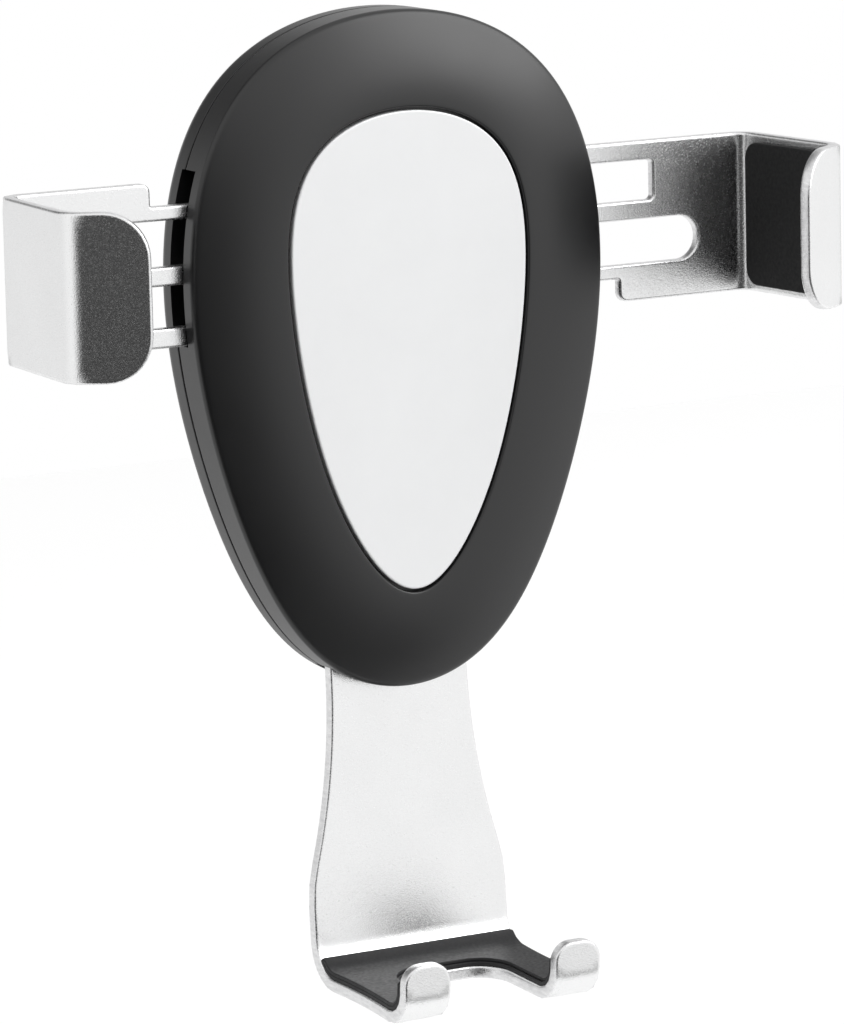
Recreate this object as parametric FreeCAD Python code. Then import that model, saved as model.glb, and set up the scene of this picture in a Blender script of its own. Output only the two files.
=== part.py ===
import FreeCAD, Part
import math
import os

# Vent-mounted phone holder with a gravity-driven shelf that closes two side arms.
# Millimetres, +X right, +Y away from the phone, +Z up.
# The origin is the middle of the face plate's front face, where the phone's back rests.

# Egg outlines: x = half_width * sin t * (1 + sum of lean_n * cos nt), z = centre + half_height * cos t
RIM_HALF_WIDTH = 27.08
RIM_HALF_HEIGHT = 37.53
RIM_LEAN = (0.1888, 0.0847, -0.0041, 0.0104)
FACE_HALF_WIDTH = 15.1
FACE_HALF_HEIGHT = 26.45
FACE_LEAN = (0.388, 0.090, 0.038)
FACE_CENTRE_Z = 0.2
EGG_POINTS = 20

# Housing depths, measured along Y from the face plate's front
RIM_Y = 2.25
SEAM_Y = 6.5
REAR_EDGE_Y = 8.5
REAR_FACE_Y = 12.0
REAR_FACE_INSET = 6.0
WALL = 1.6
FRONT_INNER_Y = 2.7
LIP_DEPTH = 1.0
LIP_GAP = 0.1
SEAM_GROOVE = 0.25

# Face plate in its pocket
FACE_THICKNESS = 1.2
FACE_GAP = 0.35
FACE_CHAMFER = 0.2

# Side arms, bent from sheet; heights are from the arm's own middle line
SHEET = 1.25
ARM_FRONT_Y = 4.38
ARM_MIDDLE_Z = 11.55
ARM_HEIGHT = 18.0
ARM_BEND_X = 45.83
ARM_BEND_RADIUS = 1.3
ARM_FLANGE_LEAN = 3.76
ARM_FLANGE_LENGTH = 17.7
ARM_HOOK_ANGLE = 30.5
ARM_HOOK_LENGTH = 8.57
ARM_HOOK_RADIUS = 2.0
ARM_HOOK_CORNER = 5.0
ARM_STEP_X = 29.3
TOP_PRONG_HEIGHT = 2.2
MIDDLE_PRONG = (0.15, 2.27)
LOW_PRONG_HEIGHT = 1.59
LOW_PRONG_ABOVE_EDGE = 2.57
TOP_PRONG = (ARM_HEIGHT / 2 - TOP_PRONG_HEIGHT, ARM_HEIGHT / 2)
LOW_PRONG = (LOW_PRONG_ABOVE_EDGE - ARM_HEIGHT / 2,
             LOW_PRONG_ABOVE_EDGE - ARM_HEIGHT / 2 + LOW_PRONG_HEIGHT)
TOP_PRONG_TIP_X = 6.6
MIDDLE_PRONG_TIP_X = -3.8
LOW_PRONG_TIP_X = 2.0
UPPER_SLOT_END_X = 33.9
LOWER_SLOT_END_X = 39.7
SLOT_CORNER = 0.6
STEP_CORNER = 1.0
PAD_THICKNESS = 1.0
PAD_INSET = 0.9
PAD_CORNER = 2.0
PAD_FROM_BEND = 0.4
PAD_FROM_KNEE = 0.15

# Travel and the cam slots that tie the arms to the shelf, one to one
TRAVEL = 15.0
PIN_RADIUS = 1.5
PIN_FIT = 0.05
PIN_SHANK_RADIUS = 1.2
PIN_HEAD_RADIUS = 2.2
PIN_HEAD_THICKNESS = 0.6
PIN_OPEN_X = 17.55
PRONG_GAP = 0.24
PRONG_HEAD_TOP = -LOW_PRONG[1] - PRONG_GAP
PIN_ABOVE_MIDDLE = (MIDDLE_PRONG[0] + PRONG_HEAD_TOP) / 2
PRONG_HEAD_LENGTH = 6.0
LAYER_GAP = 0.2
CAM_RIM = 1.65

# Lower bracket: guided plate, flared leg, shelf and two hooks
BRACKET_SHEET = 1.4
NECK_HALF_WIDTH = 8.7
FLARE_TOP_Z = -36.0
FLARE_RADIUS = 75.0
ANKLE_RADIUS = 18.0
FOOT_HALF_WIDTH = 12.3
LEAN_TOP_Z = -17.0
LEG_LEAN = 0.058
LEAN_RADIUS = 20.0
HOOK_FOOT_Y = -16.25
HOOK_FOOT_Z = -70.3
SHELF_SLOPE = 0.05
SHELF_BEND_RADIUS = 3.75
HOOK_HEIGHT = 6.35
HOOK_BEND_RADIUS = 2.5
HOOK_CORNER = 2.2
NOTCH_HALF_WIDTH = 6.6
NOTCH_REACH_Y = -3.1
NOTCH_CORNER = 3.6
SHELF_WAIST = 0.35
SHELF_WAIST_Y = (-13.0, 0.5)
SHELF_PAD_THICKNESS = 0.85
SHELF_PAD_INSET = 0.2
SHELF_PAD_STEP = 0.4
SHELF_PAD_STEP_WIDTH = 0.25
SHELF_PAD_REAR_RISE = 1.9
SHELF_PAD_LIP_DROP = 2.0
GUIDE_POST_RADIUS = 2.0
GUIDE_POST_Z = -13.0
GUIDE_FIT = 0.1
SHOULDER_GAP = 0.35

# Return springs under the slider's shoulders
SPRING_X = 12.5
SPRING_SEAT_Z = -22.0
SPRING_COIL_RADIUS = 1.9
SPRING_WIRE_RADIUS = 0.25
SPRING_TURNS = 6
SPRING_PEG_RADIUS = 1.2
SPRING_PEG_HEIGHT = 2.5
SEAT_THICKNESS = 1.2

# Ribs, bosses and screws
RIB = 1.2
ARM_GUIDE_GAP = 0.12
BEARING_RIB_X = 20.3
SIDE_RIB_X = 21.5
REAR_RIB_X = 6.0
LOW_RIB_Z = (-33.0, 3.0)
HIGH_RIB_Z = (18.5, 27.0)
SIDE_SLOT_AHEAD = 0.18
SIDE_SLOT_BEHIND = 1.65
SIDE_SLOT_ABOVE = 0.9
SIDE_SLOT_BELOW = 0.12
SIDE_SLOT_INNER_X = 19.0
LEG_SLOT_GAP = 0.35
SCREW_PLACES = ((15.6, 25.2), (-15.6, 25.2), (11.6, -26.3), (-11.6, -26.3))
SCREW_RADIUS = 1.0
SCREW_HEAD_RADIUS = 1.9
SCREW_HEAD_THICKNESS = 1.2
SCREW_LENGTH = 5.0
SCREW_HEAD_SEAT_Y = 9.3
SCREW_FIT = 0.04
SCREW_CROSS = 0.5
BOSS_RADIUS = 2.1
BOSS_JOINT_Y = 8.0

# Ball joint behind the housing
BALL_Y = 18.5
BALL_RADIUS = 6.0
LINER_GAP = 0.1
LINER_THICKNESS = 0.8
SOCKET_WALL = 1.7
SOCKET_END_Y = 20.3
CUP_EDGE = 2.2
RING_EDGE = 1.3
RING_SLIT = 0.9
MOUTH_ANGLE = 53.0
NUT_FIT = 0.1
NUT_RADIUS = 11.2
NUT_FRONT_Y = 13.6
NUT_LIP_Y = 20.6
NUT_REAR_Y = 23.6
NUT_CHAMFER = 1.2
GRIP_COUNT = 12
GRIP_RADIUS = 1.8
GRIP_DEPTH = 0.9

# Vent clip: fixed upper jaw on the ball stem, sprung lower jaw on a pin
STEM_RADIUS = 2.6
CLIP_FRONT_Y = 28.4
CLIP_TIP_Y = 44.0
CLIP_HALF_WIDTH = 5.0
CLIP_TOP_Z = 5.2
CLIP_TIP_TOP_Z = 3.9
JAW_GAP = 2.0
JAW_PAD_THICKNESS = 0.9
JAW_PAD_START_Y = 35.2
CLIP_HINGE_Y = 31.6
CLIP_HINGE_Z = -3.5
CLIP_BODY_UNDER_Z = -0.9
EAR_RADIUS = 2.3
EAR_INNER_X = 3.3
EAR_GAP = 0.15
BARREL_RADIUS = 1.9
BARREL_NOTCH_HALF = 1.35
CLIP_PIN_RADIUS = 0.8
CLIP_PIN_FIT = 0.05
CLIP_PIN_HEAD_RADIUS = 1.3
CLIP_PIN_HEAD = 0.5
JAW_UNDER_Z = -4.6
JAW_TIP_UNDER_Z = -3.7
LEVER_THICKNESS = 1.8
LEVER_END_Z = -14.0
LEVER_HALF_WIDTH = 4.0
LEVER_RIB = 0.4
CLIP_SPRING_RADIUS = 1.25
CLIP_SPRING_WIRE = 0.22
CLIP_LEG_WIRE = CLIP_SPRING_WIRE + 0.02
CLIP_SPRING_TURNS = 3
CLIP_SPRING_LEG = 3.4
CLIP_SPRING_LENGTH = 2 * BARREL_NOTCH_HALF - 4 * CLIP_SPRING_WIRE
LEG_GROOVE_HALF = 0.45
LEG_GROOVE_DEPTH = 0.8
CLIP_WALL = 1.1
CLIP_WALL_END_Z = -3.2

EGG_RIM = (RIM_HALF_WIDTH, RIM_HALF_HEIGHT, RIM_LEAN, 0.0)
EGG_FACE = (FACE_HALF_WIDTH, FACE_HALF_HEIGHT, FACE_LEAN, FACE_CENTRE_Z)
X_AXIS = FreeCAD.Vector(1, 0, 0)
Y_AXIS = FreeCAD.Vector(0, 1, 0)
Z_AXIS = FreeCAD.Vector(0, 0, 1)


def vec(x, y, z):
    return FreeCAD.Vector(x, y, z)


# Small solids used by many pieces

def block(x_range, y_range, z_range):
    """A box between two X, two Y and two Z values."""
    corner = vec(min(x_range), min(y_range), min(z_range))
    size = [max(r) - min(r) for r in (x_range, y_range, z_range)]
    return Part.makeBox(size[0], size[1], size[2], corner)


def rod_y(radius, x, z, y_range):
    """A round bar along Y."""
    length = max(y_range) - min(y_range)
    return Part.makeCylinder(radius, length, vec(x, min(y_range), z), Y_AXIS)


def rod_x(radius, y, z, x_range):
    """A round bar along X."""
    length = max(x_range) - min(x_range)
    return Part.makeCylinder(radius, length, vec(min(x_range), y, z), X_AXIS)


def rod_z(radius, x, y, z_range):
    """A round bar along Z."""
    length = max(z_range) - min(z_range)
    return Part.makeCylinder(radius, length, vec(x, y, min(z_range)), Z_AXIS)


def join(shapes):
    """One solid from shapes that meet or overlap."""
    first, rest = shapes[0], list(shapes[1:])
    return first.fuse(rest).removeSplitter() if rest else first


def prism(corners, axis, low, high):
    """A polygon given in the plane across axis, drawn out from low to high along it."""
    place = {
        "x": lambda a, b: vec(low, a, b),
        "y": lambda a, b: vec(a, low, b),
        "z": lambda a, b: vec(a, b, low),
    }[axis]
    direction = {"x": X_AXIS, "y": Y_AXIS, "z": Z_AXIS}[axis]
    points = [place(a, b) for a, b in corners]
    face = Part.Face(Part.makePolygon(points + points[:1]))
    return face.extrude(direction * (high - low))


def stadium(start, end, radius, y_range):
    """A round-ended bar in the XZ plane from start to end."""
    run = (end[0] - start[0], end[1] - start[1])
    length = math.hypot(run[0], run[1])
    side = (-run[1] / length * radius, run[0] / length * radius)
    corners = [
        (start[0] + side[0], start[1] + side[1]),
        (end[0] + side[0], end[1] + side[1]),
        (end[0] - side[0], end[1] - side[1]),
        (start[0] - side[0], start[1] - side[1]),
    ]
    bar = prism(corners, "y", min(y_range), max(y_range))
    ends = [rod_y(radius, x, z, y_range) for x, z in (start, end)]
    return join([bar] + ends)


def rounded_edges(solid, radius, chosen):
    """Fillet the straight edges for which chosen(middle, direction) is true."""
    edges = []
    for edge in solid.Edges:
        if isinstance(edge.Curve, Part.Line):
            middle = edge.valueAt((edge.FirstParameter + edge.LastParameter) / 2)
            if chosen(middle, edge.tangentAt(edge.FirstParameter)):
                edges.append(edge)
    return solid.makeFillet(radius, edges)


# Egg-shaped outlines of the housing

def egg_points(egg, y, inset=0.0):
    """Points of an egg at height t round it, moved inwards along its normal."""
    half_width, half_height, lean, centre = egg
    points = []
    for i in range(EGG_POINTS):
        t = 2 * math.pi * i / EGG_POINTS
        swell = 1 + sum(k * math.cos((n + 1) * t) for n, k in enumerate(lean))
        slope = -sum(k * (n + 1) * math.sin((n + 1) * t) for n, k in enumerate(lean))
        dx = half_width * (math.cos(t) * swell + math.sin(t) * slope)
        dz = -half_height * math.sin(t)
        size = math.hypot(dx, dz)
        x = half_width * math.sin(t) * swell + inset * dz / size
        z = centre + half_height * math.cos(t) - inset * dx / size
        points.append(vec(x, y, z))
    return points


def smooth_wire(points):
    """A closed smooth curve through points."""
    curve = Part.BSplineCurve()
    curve.interpolate(points, PeriodicFlag=True)
    return Part.Wire(curve.toShape())


def egg_prism(egg, y_range, inset=0.0):
    """An egg drawn out along Y."""
    low, high = min(y_range), max(y_range)
    face = Part.Face(smooth_wire(egg_points(egg, low, inset)))
    return face.extrude(Y_AXIS * (high - low))


def egg_ring(egg, y_range, outer_inset, inner_inset):
    """The band between two insets of an egg."""
    outer = egg_prism(egg, y_range, outer_inset)
    return outer.cut(egg_prism(egg, y_range, inner_inset))


def lofted(sections):
    """A smooth solid through a row of closed outlines."""
    return Part.makeLoft([smooth_wire(points) for points in sections], True, False)


def between(first, second, share):
    """Points part of the way from one outline to another."""
    return [a + (b - a) * share for a, b in zip(first, second)]


# Sheet bent along a path

def offset_side(corners, radii, offset):
    """One side of a bent sheet: straight runs and concentric arcs, offset to the path's left."""
    runs = []
    for start, end in zip(corners[:-1], corners[1:]):
        length = math.hypot(end[0] - start[0], end[1] - start[1])
        runs.append(((end[0] - start[0]) / length, (end[1] - start[1]) / length))

    def shifted(point, run):
        return (point[0] - run[1] * offset, point[1] + run[0] * offset)

    pieces = []
    cursor = shifted(corners[0], runs[0])
    for index, radius in enumerate(radii):
        before, after = runs[index], runs[index + 1]
        turn = math.atan2(before[0] * after[1] - before[1] * after[0],
                          before[0] * after[0] + before[1] * after[1])
        tangent = radius * math.tan(abs(turn) / 2)
        corner = corners[index + 1]
        side = math.copysign(1.0, turn)
        start = (corner[0] - before[0] * tangent, corner[1] - before[1] * tangent)
        centre = (start[0] - before[1] * radius * side, start[1] + before[0] * radius * side)
        own_radius = radius - side * offset
        angle = math.atan2(start[1] - centre[1], start[0] - centre[0])
        arc = [(centre[0] + own_radius * math.cos(angle + turn * share),
                centre[1] + own_radius * math.sin(angle + turn * share))
               for share in (0.0, 0.5, 1.0)]
        pieces.append(("line", cursor, arc[0]))
        pieces.append(("arc",) + tuple(arc))
        cursor = arc[2]
    pieces.append(("line", cursor, shifted(corners[-1], runs[-1])))
    return pieces


def bent_sheet(corners, radii, thickness, place, direction, aside=0.0):
    """A sheet whose middle runs aside from corners, rounded at radii, drawn out along direction."""
    left = offset_side(corners, radii, aside + thickness / 2)
    right = offset_side(corners, radii, aside - thickness / 2)
    edges = []
    for piece in left + right:
        points = [place(a, b) for a, b in piece[1:]]
        if piece[0] == "line":
            edges.append(Part.LineSegment(points[0], points[1]).toShape())
        else:
            edges.append(Part.Arc(points[0], points[1], points[2]).toShape())
    for end in (0, -1):
        first = left[end][1 if end == 0 else -1]
        second = right[end][1 if end == 0 else -1]
        edges.append(Part.LineSegment(place(first[0], first[1]),
                                      place(second[0], second[1])).toShape())
    wire = Part.Wire(Part.__sortEdges__(edges))
    return Part.Face(wire).extrude(direction)


# Side arms

def arm_z(height):
    """A height on the arm, taken from its middle line, as a Z value."""
    return ARM_MIDDLE_Z + height


def half_turned(shape):
    """The same piece for the other side: half a turn about the Y axis through the arms' middle."""
    other = shape.copy()
    other.rotate(vec(0, 0, ARM_MIDDLE_Z), Y_AXIS, 180)
    return other


ARM_REAR_Y = ARM_FRONT_Y + SHEET
FLANGE_RUN = (math.sin(math.radians(ARM_FLANGE_LEAN)), -math.cos(math.radians(ARM_FLANGE_LEAN)))
HOOK_RUN = (-math.cos(math.radians(ARM_HOOK_ANGLE)), -math.sin(math.radians(ARM_HOOK_ANGLE)))


def arm_path():
    """Middle line of the bent arm seen from above: web, flange, hook."""
    web_y = ARM_FRONT_Y + SHEET / 2
    bend = (ARM_BEND_X + SHEET / 2, web_y)
    knee = (bend[0] + FLANGE_RUN[0] * ARM_FLANGE_LENGTH, bend[1] + FLANGE_RUN[1] * ARM_FLANGE_LENGTH)
    tip = (knee[0] + HOOK_RUN[0] * ARM_HOOK_LENGTH, knee[1] + HOOK_RUN[1] * ARM_HOOK_LENGTH)
    return [(ARM_STEP_X, web_y), bend, knee, tip]


def rounded_hook(sheet):
    """Round the two free corners of the arm's hook."""
    tip = arm_path()[-1]

    def at_tip(middle, direction):
        near = math.hypot(middle.x - tip[0], middle.y - tip[1]) < SHEET
        return near and abs(direction.z) < 0.1

    return rounded_edges(sheet, ARM_HOOK_CORNER, at_tip)


def right_arm():
    """Web with two slots, three prongs that run inside the housing, flange and hook."""
    half = ARM_HEIGHT / 2
    bends = (ARM_BEND_RADIUS + SHEET / 2, ARM_HOOK_RADIUS + SHEET / 2)
    sheet = bent_sheet(arm_path(), bends, SHEET,
                       lambda a, b: vec(a, b, arm_z(-half)), Z_AXIS * ARM_HEIGHT)
    sheet = rounded_hook(sheet)
    depth = (ARM_FRONT_Y, ARM_REAR_Y)
    past = (ARM_FRONT_Y - 1, ARM_REAR_Y + 1)
    upper = block((ARM_STEP_X - 1, UPPER_SLOT_END_X), past, (arm_z(MIDDLE_PRONG[1]), arm_z(TOP_PRONG[0])))
    upper = rounded_edges(upper, SLOT_CORNER,
                          lambda middle, d: abs(d.y) > 0.9 and middle.x > UPPER_SLOT_END_X - 0.1)
    low_half = (MIDDLE_PRONG[0] - LOW_PRONG[1]) / 2
    low_centre = arm_z(LOW_PRONG[1] + low_half)
    lower = stadium((ARM_STEP_X - 4, low_centre), (LOWER_SLOT_END_X - low_half, low_centre),
                    low_half, past)
    sheet = sheet.cut([upper, lower])
    sheet = rounded_edges(sheet, STEP_CORNER,
                          lambda middle, d: abs(d.y) > 0.9 and middle.x < ARM_STEP_X + 0.1
                          and middle.z < arm_z(LOW_PRONG[0]) - 1)
    prongs = [
        block((TOP_PRONG_TIP_X, ARM_STEP_X), depth, (arm_z(TOP_PRONG[0]), arm_z(TOP_PRONG[1]))),
        block((MIDDLE_PRONG_TIP_X, ARM_STEP_X), depth, (arm_z(MIDDLE_PRONG[0]), arm_z(MIDDLE_PRONG[1]))),
        block((LOW_PRONG_TIP_X, ARM_STEP_X), depth, (arm_z(LOW_PRONG[0]), arm_z(LOW_PRONG[1]))),
    ]
    head = block((PIN_OPEN_X - PRONG_HEAD_LENGTH / 2, PIN_OPEN_X + PRONG_HEAD_LENGTH / 2), depth,
                 (arm_z(MIDDLE_PRONG[0]), arm_z(PRONG_HEAD_TOP)))
    head = rounded_edges(head, STEP_CORNER,
                         lambda middle, d: abs(d.y) > 0.9 and middle.z > arm_z(PRONG_HEAD_TOP) - 0.1)
    hole = rod_y(PIN_SHANK_RADIUS + PIN_FIT, PIN_OPEN_X, arm_z(PIN_ABOVE_MIDDLE), past)
    return join([sheet] + prongs + [head]).cut(hole)


def right_arm_pad():
    """Thin rubber pad on the flange's inner face, between the two bends."""
    path = arm_path()
    inner = SHEET / 2 + PAD_THICKNESS / 2
    across = (FLANGE_RUN[1], -FLANGE_RUN[0])
    start_along = ARM_BEND_RADIUS + SHEET / 2 + PAD_FROM_BEND
    half_turn = math.radians(90 + ARM_FLANGE_LEAN - ARM_HOOK_ANGLE) / 2
    end_along = ARM_FLANGE_LENGTH - (ARM_HOOK_RADIUS + SHEET / 2) * math.tan(half_turn) - PAD_FROM_KNEE
    ends = []
    for along in (start_along, end_along):
        ends.append((path[1][0] + FLANGE_RUN[0] * along + across[0] * inner,
                     path[1][1] + FLANGE_RUN[1] * along + across[1] * inner))
    low = arm_z(-ARM_HEIGHT / 2 + PAD_INSET)
    pad = bent_sheet(ends, (), PAD_THICKNESS, lambda a, b: vec(a, b, low),
                     Z_AXIS * (ARM_HEIGHT - 2 * PAD_INSET))
    return rounded_edges(pad, PAD_CORNER, lambda middle, d: abs(d.x) > 0.9)


def right_drive_pin():
    """Riveted pin: shank in the prong's head, drum in the cam slot, a head behind the slider."""
    z = arm_z(PIN_ABOVE_MIDDLE)
    front = rod_y(PIN_HEAD_RADIUS - 0.3, PIN_OPEN_X, z, (ARM_FRONT_Y - PIN_HEAD_THICKNESS, ARM_FRONT_Y))
    shank = rod_y(PIN_SHANK_RADIUS, PIN_OPEN_X, z, (ARM_FRONT_Y, ARM_REAR_Y))
    drum_end = SLIDER_REAR_Y + LAYER_GAP / 2
    drum = rod_y(PIN_RADIUS, PIN_OPEN_X, z, (ARM_REAR_Y, drum_end))
    head = rod_y(PIN_HEAD_RADIUS, PIN_OPEN_X, z, (drum_end, drum_end + PIN_HEAD_THICKNESS))
    return join([front, shank, drum, head])


# Lower bracket

ARM_TOP_Z = arm_z(ARM_HEIGHT / 2)
ARM_LOW_Z = arm_z(-ARM_HEIGHT / 2)
SHOULDER_Z = ARM_LOW_Z - ARM_GUIDE_GAP - RIB - SHOULDER_GAP
HOOK_TOP_Z = HOOK_FOOT_Z + HOOK_HEIGHT
BRACKET_BENDS = (LEAN_RADIUS, SHELF_BEND_RADIUS + BRACKET_SHEET / 2, HOOK_BEND_RADIUS + BRACKET_SHEET / 2)
SLIDER_FRONT_Y = ARM_REAR_Y + LAYER_GAP
SLIDER_REAR_Y = SLIDER_FRONT_Y + BRACKET_SHEET
CAM_RIGHT = ((PIN_OPEN_X, arm_z(PIN_ABOVE_MIDDLE)),
             (PIN_OPEN_X - TRAVEL, arm_z(PIN_ABOVE_MIDDLE) + TRAVEL))
CAM_LEFT = ((-PIN_OPEN_X, arm_z(-PIN_ABOVE_MIDDLE)),
            (-PIN_OPEN_X + TRAVEL, arm_z(-PIN_ABOVE_MIDDLE) + TRAVEL))


def flare(z):
    """Half width of the leg: straight neck, then an arc of large radius down to the foot."""
    drop = max(0.0, FLARE_TOP_Z - z)
    return NECK_HALF_WIDTH + FLARE_RADIUS - math.sqrt(FLARE_RADIUS ** 2 - drop ** 2)


FLARE_END_Z = FLARE_TOP_Z - math.sqrt(FLARE_RADIUS ** 2
                                      - (FLARE_RADIUS - FOOT_HALF_WIDTH + NECK_HALF_WIDTH) ** 2)


def bracket_outline():
    """The flat outline of slider, neck and leg, seen from the front."""
    slot_radius = PIN_RADIUS + PIN_FIT + CAM_RIM
    side_x = PIN_OPEN_X + slot_radius
    top_z = CAM_RIGHT[1][1] + slot_radius
    slope = CAM_RIGHT[0][0] + CAM_RIGHT[0][1] + slot_radius * math.sqrt(2)
    shoulder = side_x - (CAM_LEFT[0][1] - slot_radius - SHOULDER_Z)
    right = [(NECK_HALF_WIDTH, SHOULDER_Z), (shoulder, SHOULDER_Z),
             (side_x, CAM_LEFT[0][1] - slot_radius), (side_x, slope - side_x),
             (slope - top_z, top_z)]
    low_y, high_y = HOOK_FOOT_Y - 5, SLIDER_REAR_Y + 5
    outline = [vec(x, low_y, z) for x, z in right]
    outline += [vec(-x, low_y, z) for x, z in reversed(right)]
    foot_z = HOOK_FOOT_Z - 3
    edges = []
    for start, end in zip(outline[:-1], outline[1:]):
        edges.append(Part.LineSegment(start, end).toShape())
    for side in (1, -1):
        neck_top = vec(side * NECK_HALF_WIDTH, low_y, SHOULDER_Z)
        neck_end = vec(side * NECK_HALF_WIDTH, low_y, FLARE_TOP_Z)
        middle_z = (FLARE_TOP_Z + FLARE_END_Z) / 2
        arc_middle = vec(side * flare(middle_z), low_y, middle_z)
        arc_end = vec(side * FOOT_HALF_WIDTH, low_y, FLARE_END_Z)
        foot = vec(side * FOOT_HALF_WIDTH, low_y, foot_z)
        edges.append(Part.LineSegment(neck_top, neck_end).toShape())
        edges.append(Part.Arc(neck_end, arc_middle, arc_end).toShape())
        edges.append(Part.LineSegment(arc_end, foot).toShape())
    edges.append(Part.LineSegment(vec(FOOT_HALF_WIDTH, low_y, foot_z),
                                  vec(-FOOT_HALF_WIDTH, low_y, foot_z)).toShape())
    wire = Part.Wire(Part.__sortEdges__(edges))
    mask = Part.Face(wire).extrude(Y_AXIS * (high_y - low_y))

    def ankle(middle, direction):
        return abs(direction.y) > 0.9 and abs(middle.z - FLARE_END_Z) < 0.1

    def shield(middle, direction):
        return abs(direction.y) > 0.9 and middle.z > SHOULDER_Z + 0.1

    mask = rounded_edges(mask, CAM_RIM, shield)
    return rounded_edges(mask, ANKLE_RADIUS, ankle)


def leg_y(z):
    """Middle of the leg's thickness at a height below the start of its lean."""
    return SLIDER_FRONT_Y + BRACKET_SHEET / 2 + LEG_LEAN * (z - LEAN_TOP_Z)


def bracket_path(hook_height=HOOK_HEIGHT):
    """Side view of the bracket's middle line: slider, leaning leg, sloping shelf, hook square to it."""
    top = CAM_RIGHT[1][1] + PIN_RADIUS + PIN_FIT + CAM_RIM
    slider_y = SLIDER_FRONT_Y + BRACKET_SHEET / 2
    shelf_z_at_origin = HOOK_FOOT_Z - SHELF_SLOPE * HOOK_FOOT_Y
    ankle_y = leg_y(shelf_z_at_origin) / (1 - LEG_LEAN * SHELF_SLOPE)
    return [(slider_y, top), (slider_y, LEAN_TOP_Z),
            (ankle_y, shelf_z_at_origin + SHELF_SLOPE * ankle_y), (HOOK_FOOT_Y, HOOK_FOOT_Z),
            (HOOK_FOOT_Y - SHELF_SLOPE * hook_height, HOOK_FOOT_Z + hook_height)]


SHELF_ZONE = (HOOK_FOOT_Z - 2, HOOK_TOP_Z + 2)


def notch(grow):
    """Cable notch with rounded inner corners between the two hooks, grown outwards by grow."""
    half = NOTCH_HALF_WIDTH + grow
    reach = NOTCH_REACH_Y + grow
    mouth = block((-half, half), (HOOK_FOOT_Y - 5, reach), SHELF_ZONE)
    return rounded_edges(mouth, NOTCH_CORNER + grow,
                         lambda middle, d: abs(d.z) > 0.9 and middle.y > reach - 0.1)


def waist(grow):
    """Two shallow hollows in the shelf's side edges, grown outwards by grow."""
    middle_y = sum(SHELF_WAIST_Y) / 2
    half_run = SHELF_WAIST_Y[1] - middle_y
    radius = (half_run ** 2 + SHELF_WAIST ** 2) / (2 * SHELF_WAIST)
    centre_x = FOOT_HALF_WIDTH - SHELF_WAIST + radius
    return [rod_z(radius + grow, side * centre_x, middle_y, SHELF_ZONE) for side in (1, -1)]


def lower_bracket():
    """One bent sheet: slider with cam slots, leaning leg, shelf and hooks."""
    width = 2 * (PIN_OPEN_X + PIN_RADIUS + PIN_FIT + CAM_RIM)
    sheet = bent_sheet(bracket_path(), BRACKET_BENDS, BRACKET_SHEET,
                       lambda a, b: vec(-width / 2, a, b), X_AXIS * width)
    sheet = sheet.common(bracket_outline())
    sheet = sheet.cut([notch(0)] + waist(0))

    def hook_corner(middle, direction):
        on_top = abs(middle.z - HOOK_TOP_Z) < 0.2 and middle.y < HOOK_FOOT_Y + 2
        return on_top and abs(direction.y) > 0.9

    sheet = rounded_edges(sheet, HOOK_CORNER, hook_corner)
    past = (SLIDER_FRONT_Y - 1, SLIDER_REAR_Y + 1)
    slot_radius = PIN_RADIUS + PIN_FIT
    slots = [stadium(CAM_RIGHT[0], CAM_RIGHT[1], slot_radius, past),
             stadium(CAM_LEFT[0], CAM_LEFT[1], slot_radius, past)]
    slots.append(stadium((0, GUIDE_POST_Z - GUIDE_FIT), (0, GUIDE_POST_Z + TRAVEL + GUIDE_FIT),
                         GUIDE_POST_RADIUS + GUIDE_FIT, past))
    pegs = [block((side * SPRING_X - 1, side * SPRING_X + 1), (SLIDER_FRONT_Y, SLIDER_REAR_Y),
                  (SHOULDER_Z - SPRING_PEG_HEIGHT, SHOULDER_Z + 0.5)) for side in (1, -1)]
    return join([sheet] + pegs).cut(slots)


def pad_layer(low, high, notch_grow):
    """One layer of the mat, between two heights above the bracket's inner face."""
    half = FOOT_HALF_WIDTH - SHELF_PAD_INSET
    path = bracket_path(HOOK_HEIGHT - SHELF_PAD_LIP_DROP)
    layer = bent_sheet(path[1:], BRACKET_BENDS[1:], high - low,
                       lambda a, b: vec(-half, a, b), X_AXIS * 2 * half,
                       -(BRACKET_SHEET + low + high) / 2)
    rear_top = path[2][1] + SHELF_PAD_REAR_RISE
    above = block((-half - 1, half + 1), (path[3][0] / 2, path[1][0] + 1), (rear_top, path[1][1] + 1))
    return layer.cut([above, notch(notch_grow)] + waist(SHELF_PAD_INSET))


def shelf_pad():
    """Rubber mat that follows both bends of the bracket, stepped along the cable notch."""
    step = SHELF_PAD_THICKNESS - SHELF_PAD_STEP
    return join([pad_layer(0, step, SHELF_PAD_INSET),
                 pad_layer(step, SHELF_PAD_THICKNESS, SHELF_PAD_INSET + SHELF_PAD_STEP_WIDTH)])


def coil(radius, wire, turns, length, start_angle=0.0):
    """A round wire wound along +Z from the origin, as half rings that each rise half a pitch."""
    rise = length / turns / 2
    tilt = math.atan2(rise, 2 * radius)
    half_ring = Part.makeTorus(radius / math.cos(tilt), wire, vec(0, 0, 0), Z_AXIS, 0, 360, 180)
    halves = []
    for index in range(2 * turns):
        half = half_ring.copy()
        half.rotate(vec(0, 0, 0), Y_AXIS, math.degrees(tilt))
        half.rotate(vec(0, 0, 0), Z_AXIS, 180 * (index % 2))
        half.translate(vec(0, 0, rise * (index + 0.5)))
        halves.append(half)
    shape = halves[0].fuse(halves[1:])
    shape.rotate(vec(0, 0, 0), Z_AXIS, start_angle)
    return shape


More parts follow.
